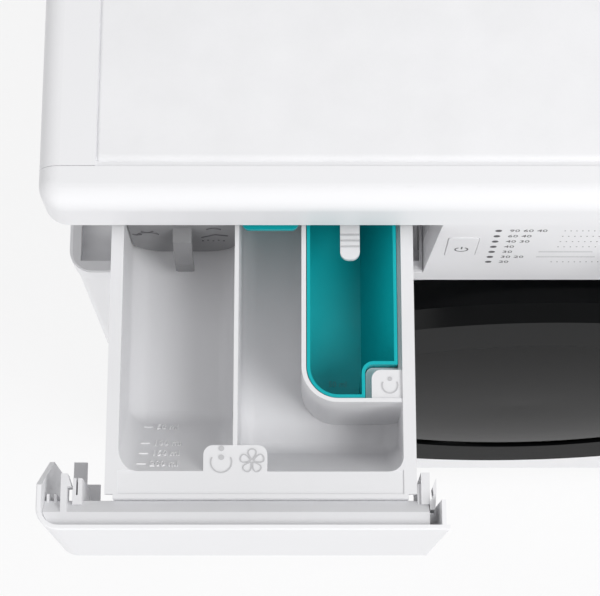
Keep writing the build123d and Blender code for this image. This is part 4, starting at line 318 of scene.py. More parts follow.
# Which finish each solid wears
nodeFinish = {
    "whiteEnamel": ["cabinet_shell", "front_panel", "rear_access_panel"],
    "whiteGloss": ["worktop_frame", "worktop_front_trim", "control_fascia", "drawer_front",
                   "programme_knob", "power_key", "service_flap"],
    "whiteBoard": ["worktop_plate"],
    "paleGrey": ["drawer_body", "drawer_carrier", "release_lever", "drum_lifters", "pump_filter",
                 "dispenser_housing", "dispenser_cover"],
    "surroundGrey": ["drawer_surround", "drain_pipe"],
    "tubGrey": ["tub_front", "tub_rear", "base_tray"],
    "flapGrey": ["liquid_flap"],
    "teal": ["drawer_insert", "siphon_cap"],
    "blackGloss": ["door_frame", "display_window"],
    "blackPlastic": ["door_inner_ring", "door_lock", "drain_pump", "damper_cylinders", "cable_gland"],
    "bluePlastic": ["inlet_valve"],
    "boardGreen": ["control_board"],
    "smokedLens": ["door_lens"],
    "clearGlass": ["door_glass"],
    "stainless": ["drum_shell", "heater"],
    "zincSteel": ["hinge_bracket", "hinge_pin", "hinge_arm", "door_hook", "damper_rods", "drum_shaft",
                  "motor_pulley", "suspension_springs", "bearing_set"],
    "castAluminium": ["motor", "drum_spider", "drum_pulley"],
    "concrete": ["counterweight"],
    "greyRubber": ["door_gasket"],
    "blackRubber": ["rear_feet", "front_left_foot", "front_right_foot", "inlet_hose", "dispenser_hose",
                    "sump_hose", "drive_belt"],
}
dressed = 0
for finishName, members in nodeFinish.items():
    for member in members:
        slots = nodes[member].data.materials
        slots.clear()
        slots.append(finishes[finishName])
        dressed += 1
print("finishes on", dressed, "nodes")


# Closed outline with its corners cut round
def rounded(points, rounds=2, cut=0.25):
    for _ in range(rounds):
        points = [((1 - share) * ax + share * bx, (1 - share) * ay + share * by)
                  for (ax, ay), (bx, by) in zip(points, points[1:] + points[:1]) for share in (cut, 1 - cut)]
    return points


# Points of a circle; a turn of 0.5 starts it half a step on
def circle(radius, sides, centre=(0, 0), turn=0.0):
    angles = [2 * math.pi * (i + turn) / sides for i in range(sides)]
    return [(centre[0] + radius * math.cos(angle), centre[1] + radius * math.sin(angle)) for angle in angles]


# Faces of a band of closed sections, each joined to the next one
def bandFaces(sections, size, loop=False, capped=True):
    faces = []
    for section in range(sections if loop else sections - 1):
        start = section * size
        after = (section + 1) % sections * size
        for i in range(size):
            j = (i + 1) % size
            faces.append((start + i, start + j, after + j, after + i))
    if capped and not loop:
        faces.append(tuple(range(size)))
        faces.append(tuple((sections - 1) * size + i for i in range(size)))
    return faces


# Closed outline of (along, radius) turned about an axis along Y or Z
def turned(profile, centre, steps, axis="Y"):
    vertices = []
    for cosine, sine in circle(1, steps):
        for along, radius in profile:
            across = centre[0] + radius * cosine
            other = centre[1] + radius * sine
            vertices.append((across, along, other) if axis == "Y" else (across, other, along))
    return vertices, bandFaces(steps, len(profile), loop=True)


# Rings of (radius, along) stacked along Y
def stacked(rings, sides):
    vertices = [(x, along, z) for radius, along in rings for x, z in circle(radius, sides)]
    return vertices, bandFaces(len(rings), sides)


# Straight bar between two places along X and two along Y, centred on Z
def bar(alongX, alongY, width):
    low, high = alongY
    half = width / 2
    section = ((low, -half), (low, half), (high, half), (high, -half))
    return [(x, y, z) for x in alongX for y, z in section], bandFaces(2, len(section))


def joined(shapes):
    vertices, faces = [], []
    for points, sides in shapes:
        faces += [tuple(len(vertices) + i for i in face) for face in sides]
        vertices += points
    return vertices, faces


def inMetres(points):
    return [[c * mm for c in point] for point in points]


def faceOutward(mesh):
    shape = bmesh.new()
    shape.from_mesh(mesh)
    bmesh.ops.recalc_face_normals(shape, faces=shape.faces)
    shape.to_mesh(mesh)
    shape.free()


def meshFrom(name, vertices, faces):
    mesh = bpy.data.meshes.new(name)
    mesh.from_pydata(inMetres(vertices), [], faces)
    faceOutward(mesh)
    return mesh


def lineMesh(name, lines):
    points, edges = [], []
    for line in lines:
        edges += [(len(points) + i, len(points) + i + 1) for i in range(len(line) - 1)]
        points += line
    mesh = bpy.data.meshes.new(name)
    mesh.from_pydata(inMetres(points), edges, [])
    return mesh


def pointMesh(name, points):
    return lineMesh(name, [[point] for point in points])


# Puts a mesh into the scene, on a body; given two points from the cabinet to the tub instead, it stays where
# it is drawn
def addPiece(name, mesh, carrier, finish, smoothAngle=35):
    mesh.materials.clear()
    mesh.materials.append(finishes[finish])
    piece = bpy.data.objects.new(name, mesh)
    scene.collection.objects.link(piece)
    mesh.shade_smooth()
    mesh.set_sharp_from_angle(angle=math.radians(smoothAngle))
    if isinstance(carrier, str):
        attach(piece, carrier)
    else:
        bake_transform(piece)
    return piece


# Marks drawn on a flat place with X to the right, gathered into one mesh
class MarkSheet:
    letterSteps = 2

    def __init__(self, origin, up, height, sink=0.15):
        self.origin = Vector(origin)
        self.right = Vector((1, 0, 0))
        self.up = Vector(up).normalized()
        self.out = self.right.cross(self.up)
        self.height = height
        self.sink = sink
        self.vertices = []
        self.faces = []

    def put(self, vertices, faces):
        start = len(self.vertices)
        for u, v, h in vertices:
            self.vertices.append(self.origin + self.right * u + self.up * v + self.out * h)
        self.faces += [[start + i for i in face] for face in faces]

    # Line of one width through points, with squared ends or closed on itself
    def stroke(self, path, width, closed=False):
        count = len(path)
        vertices = []
        for i, (u, v) in enumerate(path):
            before = path[i - 1] if closed or i else path[i]
            after = path[(i + 1) % count] if closed or i < count - 1 else path[i]
            along = Vector((after[0] - before[0], after[1] - before[1])).normalized()
            du, dv = -along.y * width / 2, along.x * width / 2
            vertices += [(u + du, v + dv, -self.sink), (u + du, v + dv, self.height),
                         (u - du, v - dv, self.height), (u - du, v - dv, -self.sink)]
        self.put(vertices, bandFaces(count, 4, closed))

    def arc(self, centre, radius, span, width, steps=18):
        start, end = span
        path = []
        for i in range(steps + 1):
            angle = math.radians(start + (end - start) * i / steps)
            path.append((centre[0] + radius * math.cos(angle), centre[1] + radius * math.sin(angle)))
        self.stroke(path, width)

    def disc(self, centre, radius, steps=14):
        ring = circle(radius, steps, centre)
        self.put([(u, v, h) for h in (-self.sink, self.height) for u, v in ring], bandFaces(2, steps))

    def words(self, text, place, size, align="LEFT", stretch=1.0):
        curve = bpy.data.curves.new("lettering", "FONT")
        curve.body = text
        curve.size = size
        curve.align_x = align
        curve.align_y = "CENTER"
        curve.resolution_u = self.letterSteps
        curve.extrude = (self.height + self.sink) / 2
        holder = bpy.data.objects.new("lettering", curve)
        mesh = bpy.data.meshes.new_from_object(holder)
        lift = (self.height - self.sink) / 2
        self.put([(place[0] + v.co.x, place[1] + v.co.y * stretch, lift + v.co.z) for v in mesh.vertices],
                 [list(face.vertices) for face in mesh.polygons])
        bpy.data.objects.remove(holder)
        bpy.data.curves.remove(curve)
        bpy.data.meshes.remove(mesh)

    def piece(self, name, body, finish):
        addPiece(name, meshFrom(name, self.vertices, self.faces), body, finish)


def frontSheet(face, height, **more):
    return MarkSheet((0, face, 0), (0, 0, 1), height, **more)


def topSheet(level, height):
    return MarkSheet((0, 0, level), (0, 1, 0), height)


# Node group with named inputs and one geometry in and out
class Growth:
    def __init__(self, name, inputs):
        self.group = bpy.data.node_groups.new(name, "GeometryNodeTree")
        sockets = {"Geometry": "Geometry", **inputs, "Material": "Material"}
        for label, kind in sockets.items():
            self.group.interface.new_socket(label, in_out="INPUT", socket_type="NodeSocket" + kind)
        self.group.interface.new_socket("Geometry", in_out="OUTPUT", socket_type="NodeSocketGeometry")
        self.given = self.group.nodes.new("NodeGroupInput").outputs

    def add(self, kind, settings=None, output=0, **inputs):
        return addNode(self.group, kind, settings, output, **inputs)

    def math(self, operation, a, b=0.0):
        return self.add("ShaderNodeMath", {"operation": operation}, _0=a, _1=b)

    def shape(self):
        return self.add("GeometryNodeObjectInfo", output="Geometry", Object=self.given["Shape"])

    def close(self, geometry):
        whole = self.add("GeometryNodeRealizeInstances", Geometry=geometry)
        clad = self.add("GeometryNodeSetMaterial", Geometry=whole, Material=self.given["Material"])
        self.group.links.new(clad, self.group.nodes.new("NodeGroupOutput").inputs[0])
        return self.group

    # Ends the group with copies of a shape on points
    def closeCopies(self, points, shape, **more):
        return self.close(self.add("GeometryNodeInstanceOnPoints", Points=points, Instance=shape, **more))


# Runs a node group on a base mesh and gives back what it grew
def grown(name, base, group, values, finish):
    holder = bpy.data.objects.new(name, base)
    scene.collection.objects.link(holder)
    modifier = holder.modifiers.new("growth", "NODES")
    modifier.node_group = group
    values = {**values, "Material": finishes[finish]}
    for item in group.interface.items_tree:
        if item.in_out == "INPUT" and item.name in values:
            modifier[item.identifier] = values[item.name]
    depsgraph = bpy.context.evaluated_depsgraph_get()
    mesh = bpy.data.meshes.new_from_object(holder.evaluated_get(depsgraph))
    holder.modifiers.remove(modifier)
    bpy.data.objects.remove(holder)
    mesh.name = name
    return mesh


def growPiece(name, base, group, values, carrier, finish, smoothAngle=35):
    return addPiece(name, grown(name, base, group, values, finish), carrier, finish, smoothAngle)


# Piece made of copies of one shape, which leaves the scene once it is copied
def copyPiece(name, shape, base, group, values, carrier, finish, smoothAngle=35):
    copied = bpy.data.objects.new(name + "Shape", meshFrom(name + "Shape", *shape))
    scene.collection.objects.link(copied)
    growPiece(name, base, group, {**values, "Shape": copied}, carrier, finish, smoothAngle)
    bpy.data.objects.remove(copied)


# Rows of copies round an axis along Y, every second row half a step on; the shape's +X faces outward
def ringRowsGroup():
    growth = Growth("ringRows", {"Rows": "Int", "Per Row": "Int", "Radius": "Float", "Pitch": "Float",
                                 "Centre": "Vector"})
    given = growth.given
    index = growth.add("GeometryNodeInputIndex")
    row = growth.math("FLOOR", growth.math("DIVIDE", index, given["Per Row"]))
    column = growth.math("SUBTRACT", index, growth.math("MULTIPLY", row, given["Per Row"]))
    halfStep = growth.math("MULTIPLY", growth.math("MODULO", row, 2.0), 0.5)
    turn = growth.math("DIVIDE", growth.math("ADD", column, halfStep), given["Per Row"])
    angle = growth.math("MULTIPLY", turn, 2 * math.pi)
    place = growth.add("ShaderNodeCombineXYZ",
                       X=growth.math("MULTIPLY", growth.math("COSINE", angle), given["Radius"]),
                       Y=growth.math("MULTIPLY", row, given["Pitch"]),
                       Z=growth.math("MULTIPLY", growth.math("SINE", angle), given["Radius"]))
    place = growth.add("ShaderNodeVectorMath", {"operation": "ADD"}, _0=place, _1=given["Centre"])
    count = growth.math("MULTIPLY", given["Rows"], given["Per Row"])
    points = growth.add("GeometryNodePoints", Count=count, Position=place)
    facing = growth.add("ShaderNodeCombineXYZ", Y=growth.math("MULTIPLY", angle, -1.0))
    return growth.closeCopies(points, given["Geometry"], Rotation=facing)


def rowValues(radius, centre, perRow, rows=1, pitch=0):
    return {"Rows": rows, "Per Row": perRow, "Radius": radius * mm, "Pitch": pitch * mm,
            "Centre": [c * mm for c in centre]}


# Copies of a shape on each point of the base
def pointsGroup():
    growth = Growth("shapeOnPoints", {"Shape": "Object"})
    points = growth.add("GeometryNodeMeshToPoints", Mesh=growth.given["Geometry"])
    return growth.closeCopies(points, growth.shape())


# Copies of a shape at even steps along the base's lines
def alongGroup():
    growth = Growth("shapeAlongLines", {"Shape": "Object", "Step": "Float"})
    line = growth.add("GeometryNodeMeshToCurve", Mesh=growth.given["Geometry"])
    points = growth.add("GeometryNodeCurveToPoints", {"mode": "LENGTH"}, Curve=line,
                        Length=growth.given["Step"])
    return growth.closeCopies(points, growth.shape())


hoseSkin = {"bendSteps": 14, "sampleStep": 1.2, "sides": 28, "mergeDistance": 0.01}


# Ribbed hose with a wall, along the base's line with its corners bent round
def hoseGroup(setup):
    growth = Growth("ribbedHose", {"Radius": "Float", "Rib": "Float", "Pitch": "Float", "Bend": "Float",
                                   "Wall": "Float"})
    given = growth.given
    line = growth.add("GeometryNodeMeshToCurve", Mesh=given["Geometry"])
    bent = growth.add("GeometryNodeFilletCurve", {"mode": "POLY"}, Curve=line, Count=setup["bendSteps"],
                      Radius=given["Bend"], Limit_Radius=True)
    fine = growth.add("GeometryNodeResampleCurve", {"mode": "LENGTH"}, Curve=bent,
                      Length=setup["sampleStep"] * mm)
    length = growth.add("GeometryNodeSplineParameter", output="Length")
    turns = growth.math("DIVIDE", length, given["Pitch"])
    wave = growth.math("SINE", growth.math("MULTIPLY", turns, 2 * math.pi))
    share = growth.math("SUBTRACT", 0.5, growth.math("MULTIPLY", wave, 0.5))
    dip = growth.math("MULTIPLY", share, given["Rib"])
    ring = growth.add("GeometryNodeCurvePrimitiveCircle", Resolution=setup["sides"], Radius=1.0)
    skin = growth.add("GeometryNodeCurveToMesh", Curve=fine, Profile_Curve=ring,
                      Scale=growth.math("SUBTRACT", given["Radius"], dip))
    inner = growth.add("GeometryNodeExtrudeMesh", Mesh=skin, Individual=False,
                       Offset_Scale=growth.math("MULTIPLY", given["Wall"], -1.0))
    both = growth.group.nodes.new("GeometryNodeJoinGeometry")
    growth.group.links.new(skin, both.inputs[0])
    growth.group.links.new(inner, both.inputs[0])
    return growth.close(growth.add("GeometryNodeMergeByDistance", Geometry=both.outputs[0],
                                   Distance=setup["mergeDistance"] * mm))


coilSkin = {"turnSteps": 20, "wireSides": 8}


# Coil of wire that starts at each point of the base and rises along Z
def coilGroup(setup):
    growth = Growth("coilSpring", {"Turns": "Float", "Radius": "Float", "Wire": "Float", "Height": "Float"})
    given = growth.given
    coil = growth.add("GeometryNodeCurveSpiral", Resolution=setup["turnSteps"], Rotations=given["Turns"],
                      Start_Radius=given["Radius"], End_Radius=given["Radius"], Height=given["Height"])
    wire = growth.add("GeometryNodeCurvePrimitiveCircle", Resolution=setup["wireSides"], Radius=given["Wire"])
    skin = growth.add("GeometryNodeCurveToMesh", Curve=coil, Profile_Curve=wire, Fill_Caps=True)
    points = growth.add("GeometryNodeMeshToPoints", Mesh=given["Geometry"])
    return growth.closeCopies(points, skin)


ringRows = ringRowsGroup()
onPoints = pointsGroup()
alongLines = alongGroup()
ribbedHose = hoseGroup(hoseSkin)
coilSpring = coilGroup(coilSkin)
print("node groups built")

# Folded rubber bellows between the door port and the tub
gasket = {
    "centre": (0, 445),
    "steps": 144,
    "smoothAngle": 60,
    "carrier": [(0, -238, 445), (0, -217, 445)],
    "outline": [(-245.2, 181), (-245.2, 170), (-245.6, 166), (-246.1, 160.5), (-245.5, 158.5),
                (-246.6, 155.5), (-246.0, 153.2), (-247.2, 151), (-247.5, 148), (-246, 146.8), (-244.4, 147),
                (-243.6, 153), (-241.5, 165), (-239.2, 172), (-236, 178), (-233.5, 184.5), (-231.2, 186),
                (-223, 186), (-219, 181.5), (-215, 176.3), (-204, 176.3), (-204, 181), (-214, 181),
                (-217, 186), (-221, 190), (-227, 188.6), (-233.2, 190), (-237, 186), (-240.2, 181)],
}


def foldGasket(setup):
    shape = turned(rounded(setup["outline"]), setup["centre"], setup["steps"])
    bellows = addPiece("gasketBellows", meshFrom("gasketBellows", *shape), setup["carrier"], "greyRubber",
                       setup["smoothAngle"])
    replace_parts(bellows, "door_gasket")


foldGasket(gasket)

# Pressed holes in the drum wall: a steel lip round each hole, and in it a black disc as painted shade
drumHoles = {
    "rows": 19,
    "perRow": 60,
    "wallRadius": 240,
    "pitch": 12.5,
    "centre": (0, -148, 445),
    "holeRadius": 2.1,
    "lipRadius": 3.2,
    "lipBevel": 0.4,
    "lipRise": 0.5,
    "lipSink": 0.1,
    "discSpare": 0.1,
    "discRise": 0.12,
    "sides": 10,
}


# Rings of (radius, rise), which rise from the wall towards the drum's axis
def holeRings(rings, sides):
    return [(-rise, y, z) for radius, rise in rings for y, z in circle(radius, sides)]


def drillDrum(setup):
    sides, rise, sink = setup["sides"], setup["lipRise"], setup["lipSink"]
    lipRings = [(setup["lipRadius"], -sink), (setup["lipRadius"] - setup["lipBevel"], rise),
                (setup["holeRadius"], rise), (setup["holeRadius"], -sink)]
    lip = meshFrom("holeLip", holeRings(lipRings, sides), bandFaces(len(lipRings), sides, capped=False))
    # Black disc on the wall inside each lip: painted shade where an open hole would look dark
    discRings = [(setup["holeRadius"] + setup["discSpare"], setup["discRise"])]
    disc = meshFrom("holeShadeDisc", holeRings(discRings, sides), [tuple(range(sides))])
    values = rowValues(setup["wallRadius"], setup["centre"], setup["perRow"], setup["rows"], setup["pitch"])
    growPiece("drumHoleLips", lip, ringRows, values, "drum", "stainless")
    growPiece("drumHoles", disc, ringRows, values, "drum", "blackPlastic")


drillDrum(drumHoles)
print("drum drilled")

# Coil springs that carry the tub, with their rods and caps
springs = {
    "places": [(-262, 40), (262, 40)],
    "carrier": [(0, 40, 765), (0, 40, 617)],
    "coilLow": 614,
    "coilHeight": 154,
    "turns": 22.0,
    "coilRadius": 10.8,
    "wireRadius": 1.9,
    "smoothAngle": 70,
    "endSteps": 20,
    "lowEnd": [(586, 0.4), (586, 5.5), (587.5, 7), (591, 7), (591.9, 6), (591.9, 2.5), (612, 2.5), (613, 8.2),
               (617, 8.2), (617, 0.4)],
    "highEnd": [(765, 0.4), (765, 8.2), (769, 8.2), (770, 2.5), (785.1, 2.5), (785.1, 6), (786, 7),
                (789.5, 7), (791, 5.5), (791, 0.4)],
}


def hangSprings(setup):
    feet = pointMesh("springFeet", [(x, y, setup["coilLow"]) for x, y in setup["places"]])
    values = {"Turns": setup["turns"], "Radius": setup["coilRadius"] * mm, "Wire": setup["wireRadius"] * mm,
              "Height": setup["coilHeight"] * mm}
    coils = growPiece("springCoils", feet, coilSpring, values, setup["carrier"], "zincSteel",
                      setup["smoothAngle"])
    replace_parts(coils, "suspension_springs")
    ends = joined([turned(setup[end], place, setup["endSteps"], "Z")
                   for place in setup["places"] for end in ("lowEnd", "highEnd")])
    addPiece("springEnds", meshFrom("springEnds", *ends), setup["carrier"], "zincSteel")


hangSprings(springs)

# Hoses inside the cabinet, each with its ribs
hoses = {
    "dispenserHose": {"replaces": "dispenser_hose", "carrier": [(-180, -60, 712), (-180, -60, 658)],
                      "radius": 24.3, "rib": 3.0, "pitch": 7.0, "wall": 2.9, "bend": 1.0,
                      "route": [(-180, -60, 716), (-180, -60, 637)]},
    "inletHose": {"replaces": "inlet_hose", "carrier": "cabinet",
                  "radius": 11.3, "rib": 0.5, "pitch": 4.0, "wall": 2.4, "bend": 1.0,
                  "route": [(-181, 10, 800), (-181, 235.2, 800)]},
    "sumpHose": {"replaces": "sump_hose", "carrier": [(80, -175, 104), (80, -175, 165)],
                 "radius": 19.3, "rib": 0.9, "pitch": 6.0, "wall": 2.0, "bend": 38.0,
                 "route": [(80, -175, 186), (80, -175, 85), (154, -175, 85)]},
}
hoseSmoothAngle = 60
tubRound = {"radius": 262.3, "axisHeight": 445}


def layHoses(setup, tub):
    for name, hose in setup.items():
        values = {label: hose[label.lower()] * mm for label in ("Radius", "Rib", "Pitch", "Bend", "Wall")}
        mesh = grown(name, lineMesh(name, [hose["route"]]), ribbedHose, values, "blackRubber")
        if name == "dispenserHose":
            # Its lower end follows the round tub
            for vertex in mesh.vertices:
                reach = (tub["radius"] * mm) ** 2 - vertex.co.x ** 2
                vertex.co.z = max(vertex.co.z, tub["axisHeight"] * mm + math.sqrt(reach))
        faceOutward(mesh)
        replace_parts(addPiece(name, mesh, hose["carrier"], "blackRubber", hoseSmoothAngle), hose["replaces"])


layHoses(hoses, tubRound)

# Ribbed drive belt round the drum pulley and the motor pulley
belt = {
    "large": (0, 445, 140.3),
    "small": (50, 105, 11.3),
    "front": 199,
    "width": 14,
    "thickness": 4,
    "ribs": 5,
    "ribDepth": 1.4,
    "largeSteps": 96,
    "smallSteps": 16,
}


def layBelt(setup):
    largeX, largeZ, largeR = setup["large"]
    smallX, smallZ, smallR = setup["small"]
    heading = math.atan2(smallZ - largeZ, smallX - largeX)
    reach = math.acos((largeR - smallR) / math.hypot(smallX - largeX, smallZ - largeZ))
    arcs = ((setup["large"], heading + reach, 2 * math.pi - 2 * reach, setup["largeSteps"]),
            (setup["small"], heading - reach, 2 * reach, setup["smallSteps"]))
    path = [(*wheel, start + span * i / steps)
            for wheel, start, span, steps in arcs for i in range(steps + 1)]
    front, width, ribs = setup["front"], setup["width"], setup["ribs"]
    section = [(front, setup["thickness"]), (front + width, setup["thickness"])]
    for rib in range(ribs):
        right = front + width * (1 - rib / ribs)
        section += [(right, setup["ribDepth"]), (right - width / ribs / 2, 0)]
    section.append((front, setup["ribDepth"]))
    vertices = []
    for x, z, radius, angle in path:
        for y, rise in section:
            vertices.append((x + (radius + rise) * math.cos(angle), y, z + (radius + rise) * math.sin(angle)))
    mesh = meshFrom("ribbedBelt", vertices, bandFaces(len(path), len(section), loop=True))
    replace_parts(addPiece("ribbedBelt", mesh, "tub_unit", "blackRubber"), "drive_belt")


layBelt(belt)
print("springs, hoses and belt laid")

# Back wall: hexagon screws with washers, pressed louvres and rubber grommets
backWall = {
    "wallY": 272.5,
    "panelY": 277.5,
    "panelScrews": [(-161, 179), (0, 179), (161, 179), (-161, 405), (161, 405), (-161, 631), (0, 631),
                    (161, 631)],
    "wallScrews": [(-286, 60), (286, 60), (-286, 430), (286, 430), (-286, 790), (286, 790), (-120, 790),
                   (120, 790)],
    "washerRings": [(5.4, -0.1), (5.1, 0.9)],
    "washerSides": 12,
    "hexRings": [(3.9, 0.8), (3.9, 2.1), (3.3, 2.6)],
    "hexSides": 6,
    "louvreColumns": [-78, 0, 78],
    "louvreRows": 6,
    "louvreLow": 672,
    "louvrePitch": 13,
    "louvreWidth": 64,
    "louvreHeight": 7,
    "louvreRise": 3.6,
    "louvreSink": 0.1,
    "louvreTaper": 4,
    "louvreLean": 0.6,
    "louvreGrid": (10, 6),
    "louvreSmoothAngle": 60,
    "grommets": [(-190, 170), (190, 170), (-190, 640), (190, 640)],
    "grommetOutline": [(272.4, 9.4), (275.2, 9.4), (276.4, 10.6), (276.4, 13.2), (274.6, 15.6),
                       (272.4, 15.6)],
    "grommetSteps": 28,
}


# Blister that leans down and runs out at both ends, closed by one flat back
def louvreShape(setup):
    columns, rows = setup["louvreGrid"]
    vertices = []
    for row in range(rows + 1):
        across = row / rows
        for column in range(columns + 1):
            along = column / columns
            taper = math.sin(math.pi * min(0.5, min(along, 1 - along) * setup["louvreTaper"]))
            rise = setup["louvreRise"] * taper * math.sin(math.pi * across ** setup["louvreLean"])
            vertices.append(((along - 0.5) * setup["louvreWidth"], rise - setup["louvreSink"],
                             (across - 0.5) * setup["louvreHeight"]))
    wide = columns + 1
    faces = [(row * wide + i, row * wide + i + 1, (row + 1) * wide + i + 1, (row + 1) * wide + i)
             for row in range(rows) for i in range(columns)]
    rim = list(range(wide))
    rim += [row * wide + columns for row in range(1, rows + 1)]
    rim += [rows * wide + i for i in range(columns - 1, -1, -1)]
    rim += [row * wide for row in range(rows - 1, 0, -1)]
    faces.append(tuple(rim))
    return vertices, faces


def dressBack(setup):
    screw = joined([stacked(setup["washerRings"], setup["washerSides"]),
                    stacked(setup["hexRings"], setup["hexSides"])])
    places = [(x, setup["panelY"], z) for x, z in setup["panelScrews"]]
    places += [(x, setup["wallY"], z) for x, z in setup["wallScrews"]]
    copyPiece("backScrews", screw, pointMesh("backScrews", places), onPoints, {}, "cabinet", "zincSteel")
    places = [(x, setup["wallY"], setup["louvreLow"] + setup["louvrePitch"] * row)
              for x in setup["louvreColumns"] for row in range(setup["louvreRows"])]
    copyPiece("backLouvres", louvreShape(setup), pointMesh("backLouvres", places), onPoints, {}, "cabinet",
              "whiteEnamel", setup["louvreSmoothAngle"])
    grommet = turned(setup["grommetOutline"], (0, 0), setup["grommetSteps"])
    places = [(x, 0, z) for x, z in setup["grommets"]]
    copyPiece("transitGrommets", grommet, pointMesh("transitGrommets", places), onPoints, {}, "cabinet",
              "blackRubber")


dressBack(backWall)
print("back dressed")

# Round-headed screws on the back of the door ring and on the hinge plate
roundScrews = {
    "rings": [(3.6, -0.1), (3.4, 0.7), (2.6, 1.2), (1.3, 1.2), (1.1, 0.4)],
    "sides": 12,
    "doorCount": 10,
    "doorCircle": 190,
    "doorAxis": (0, 445),
    "doorFace": -262.5,
    "hingeFace": -263.5,
    "hingePlaces": [(-264.5, 403), (-264.5, 445), (-264.5, 487)],
}


def driveScrews(setup):
    doorPlaces = circle(setup["doorCircle"], setup["doorCount"], setup["doorAxis"], turn=0.5)
    for name, body, outward, face, places in (
            ("doorScrews", "door", 1, setup["doorFace"], doorPlaces),
            ("hingeScrews", "cabinet", -1, setup["hingeFace"], setup["hingePlaces"])):
        head = stacked([(radius, outward * rise) for radius, rise in setup["rings"]], setup["sides"])
        base = pointMesh(name, [(x, face, z) for x, z in places])
        copyPiece(name, head, base, onPoints, {}, body, "zincSteel")


driveScrews(roundScrews)

# Fine ribs round the skirt of the selector
knobGrip = {
    "axis": (45, 0, 757),
    "radius": 23,
    "count": 48,
    "ends": (-274.6, -269.6),
    "sink": 0.2,
    "rise": 0.5,
    "width": 0.9,
}


def ribKnob(setup):
    rib = meshFrom("knobRib", *bar((-setup["sink"], setup["rise"]), setup["ends"], setup["width"]))
    growPiece("knobGrip", rib, ringRows, rowValues(setup["radius"], setup["axis"], setup["count"]), "knob",
              "whiteGloss")


ribKnob(knobGrip)
print("screws and knob ribs set")

# Pale seal in the joint round the worktop board; each line is its half width, front and back
worktopSeal = {
    "outer": (268.98, -250.48, 241.48),
    "innerTop": (268.4, -247.8, 240.9),
    "innerLow": (268.72, -250.22, 241.22),
    "low": 842,
    "top": 848.3,
}


def sealWorktop(setup):
    rings = [("outer", "low"), ("outer", "top"), ("innerTop", "top"), ("innerLow", "low")]
    corners = [(-1, 1), (1, 1), (1, 2), (-1, 2)]
    vertices = [(sideX * setup[line][0], setup[line][sideY], setup[height])
                for sideX, sideY in corners for line, height in rings]
    mesh = meshFrom("worktopSeal", vertices, bandFaces(len(corners), len(rings), loop=True))
    addPiece("worktopSeal", mesh, "cabinet", "whiteGloss")


sealWorktop(worktopSeal)

# Filling scale on the front ramp of the wash compartment
washScale = {
    "rampTop": (0, -406.5, 805),
    "rampDown": (0, 40, -59),
    "rise": 0.6,
    "tickLeft": -248,
    "tickRight": -243,
    "tickWidth": 0.7,
    "wordsLeft": -241,
    "wordSize": 5.6,
    "stretch": 1.7,
    "levels": [("50 ml", 61), ("100 ml", 38), ("150 ml", 24), ("200 ml", 10)],
}


def drawScale(setup):
    sheet = MarkSheet(setup["rampTop"], setup["rampDown"], setup["rise"])
    for words, level in setup["levels"]:
        sheet.stroke([(setup["tickLeft"], level), (setup["tickRight"], level)], setup["tickWidth"])
        sheet.words(words, (setup["wordsLeft"], level), setup["wordSize"], stretch=setup["stretch"])
    sheet.piece("washScale", "drawer", "markPale")


drawScale(washScale)

# Signs in the drawer: basins, a flower, the cup's level, and painted shade in the grooves of the press tab
drawerSigns = {
    "rise": 0.4,
    "line": 0.7,
    "basinArc": (152, 388),
    "deckHeight": 804.2,
    "basin": (-202.4, -401.2),
    "basinRadius": 5.6,
    "dots": [(-202.4, -393.8), (-202.4, -398.6)],
    "dotRadius": 1.5,
    "flower": (-186.0, -400.6),
    "petals": 5,
    "petalSteps": 16,
    "petalReach": 3.7,
    "petalLength": 2.8,
    "petalWidth": 3.0,
    "petalTaper": 0.36,
    "shelfHeight": 803,
    "shelfBasin": (-112.2, -359.2),
    "shelfRadius": 4.2,
    "shelfDot": (-112.2, -355.6),
    "shelfDotRadius": 1.2,
    "cupFloor": 756.1,
    "cupLevel": ("50 ml", (-139.4, -348), 4.6),
    "tabFloor": 802.3,
    "tabGrooves": [-280.8, -277.4, -274.0],
    "tabSides": (-138.3, -128.0),
    "grooveWidth": 1.2,
    "grooveRise": 0.1,
}


# Petal that narrows towards the middle of its flower
def petalOutline(setup, aim):
    outline = []
    for cosine, sine in circle(1, setup["petalSteps"]):
        along = setup["petalReach"] + setup["petalLength"] * cosine
        across = setup["petalWidth"] * sine * (1 - setup["petalTaper"] * (1 - cosine))
        outline.append((setup["flower"][0] + along * math.cos(aim) - across * math.sin(aim),
                        setup["flower"][1] + along * math.sin(aim) + across * math.cos(aim)))
    return outline


def drawSigns(setup):
    # Deck and shelf signs are the drawer's own plastic; their darker grey is painted shade
    deck = topSheet(setup["deckHeight"], setup["rise"])
    deck.arc(setup["basin"], setup["basinRadius"], setup["basinArc"], setup["line"])
    for dot in setup["dots"]:
        deck.disc(dot, setup["dotRadius"])
    for petal in range(setup["petals"]):
        aim = math.radians(90 + 360 / setup["petals"] * petal)
        deck.stroke(petalOutline(setup, aim), setup["line"], True)
    deck.piece("deckSigns", "drawer", "markGrey")
    shelf = topSheet(setup["shelfHeight"], setup["rise"])
    shelf.arc(setup["shelfBasin"], setup["shelfRadius"], setup["basinArc"], setup["line"])
    shelf.disc(setup["shelfDot"], setup["shelfDotRadius"])
    shelf.piece("shelfSign", "drawer", "markGrey")
    cup = topSheet(setup["cupFloor"], setup["rise"])
    words, place, size = setup["cupLevel"]
    cup.words(words, place, size, "CENTER")
    cup.piece("cupLevel", "drawer", "markTeal")
    # Grey strips between the tab's ribs: painted shade in its grooves
    tab = topSheet(setup["tabFloor"], setup["grooveRise"])
    for groove in setup["tabGrooves"]:
        tab.stroke([(side, groove) for side in setup["tabSides"]], setup["grooveWidth"])
    tab.piece("tabGrooves", "lever", "markGrey")


drawSigns(drawerSigns)

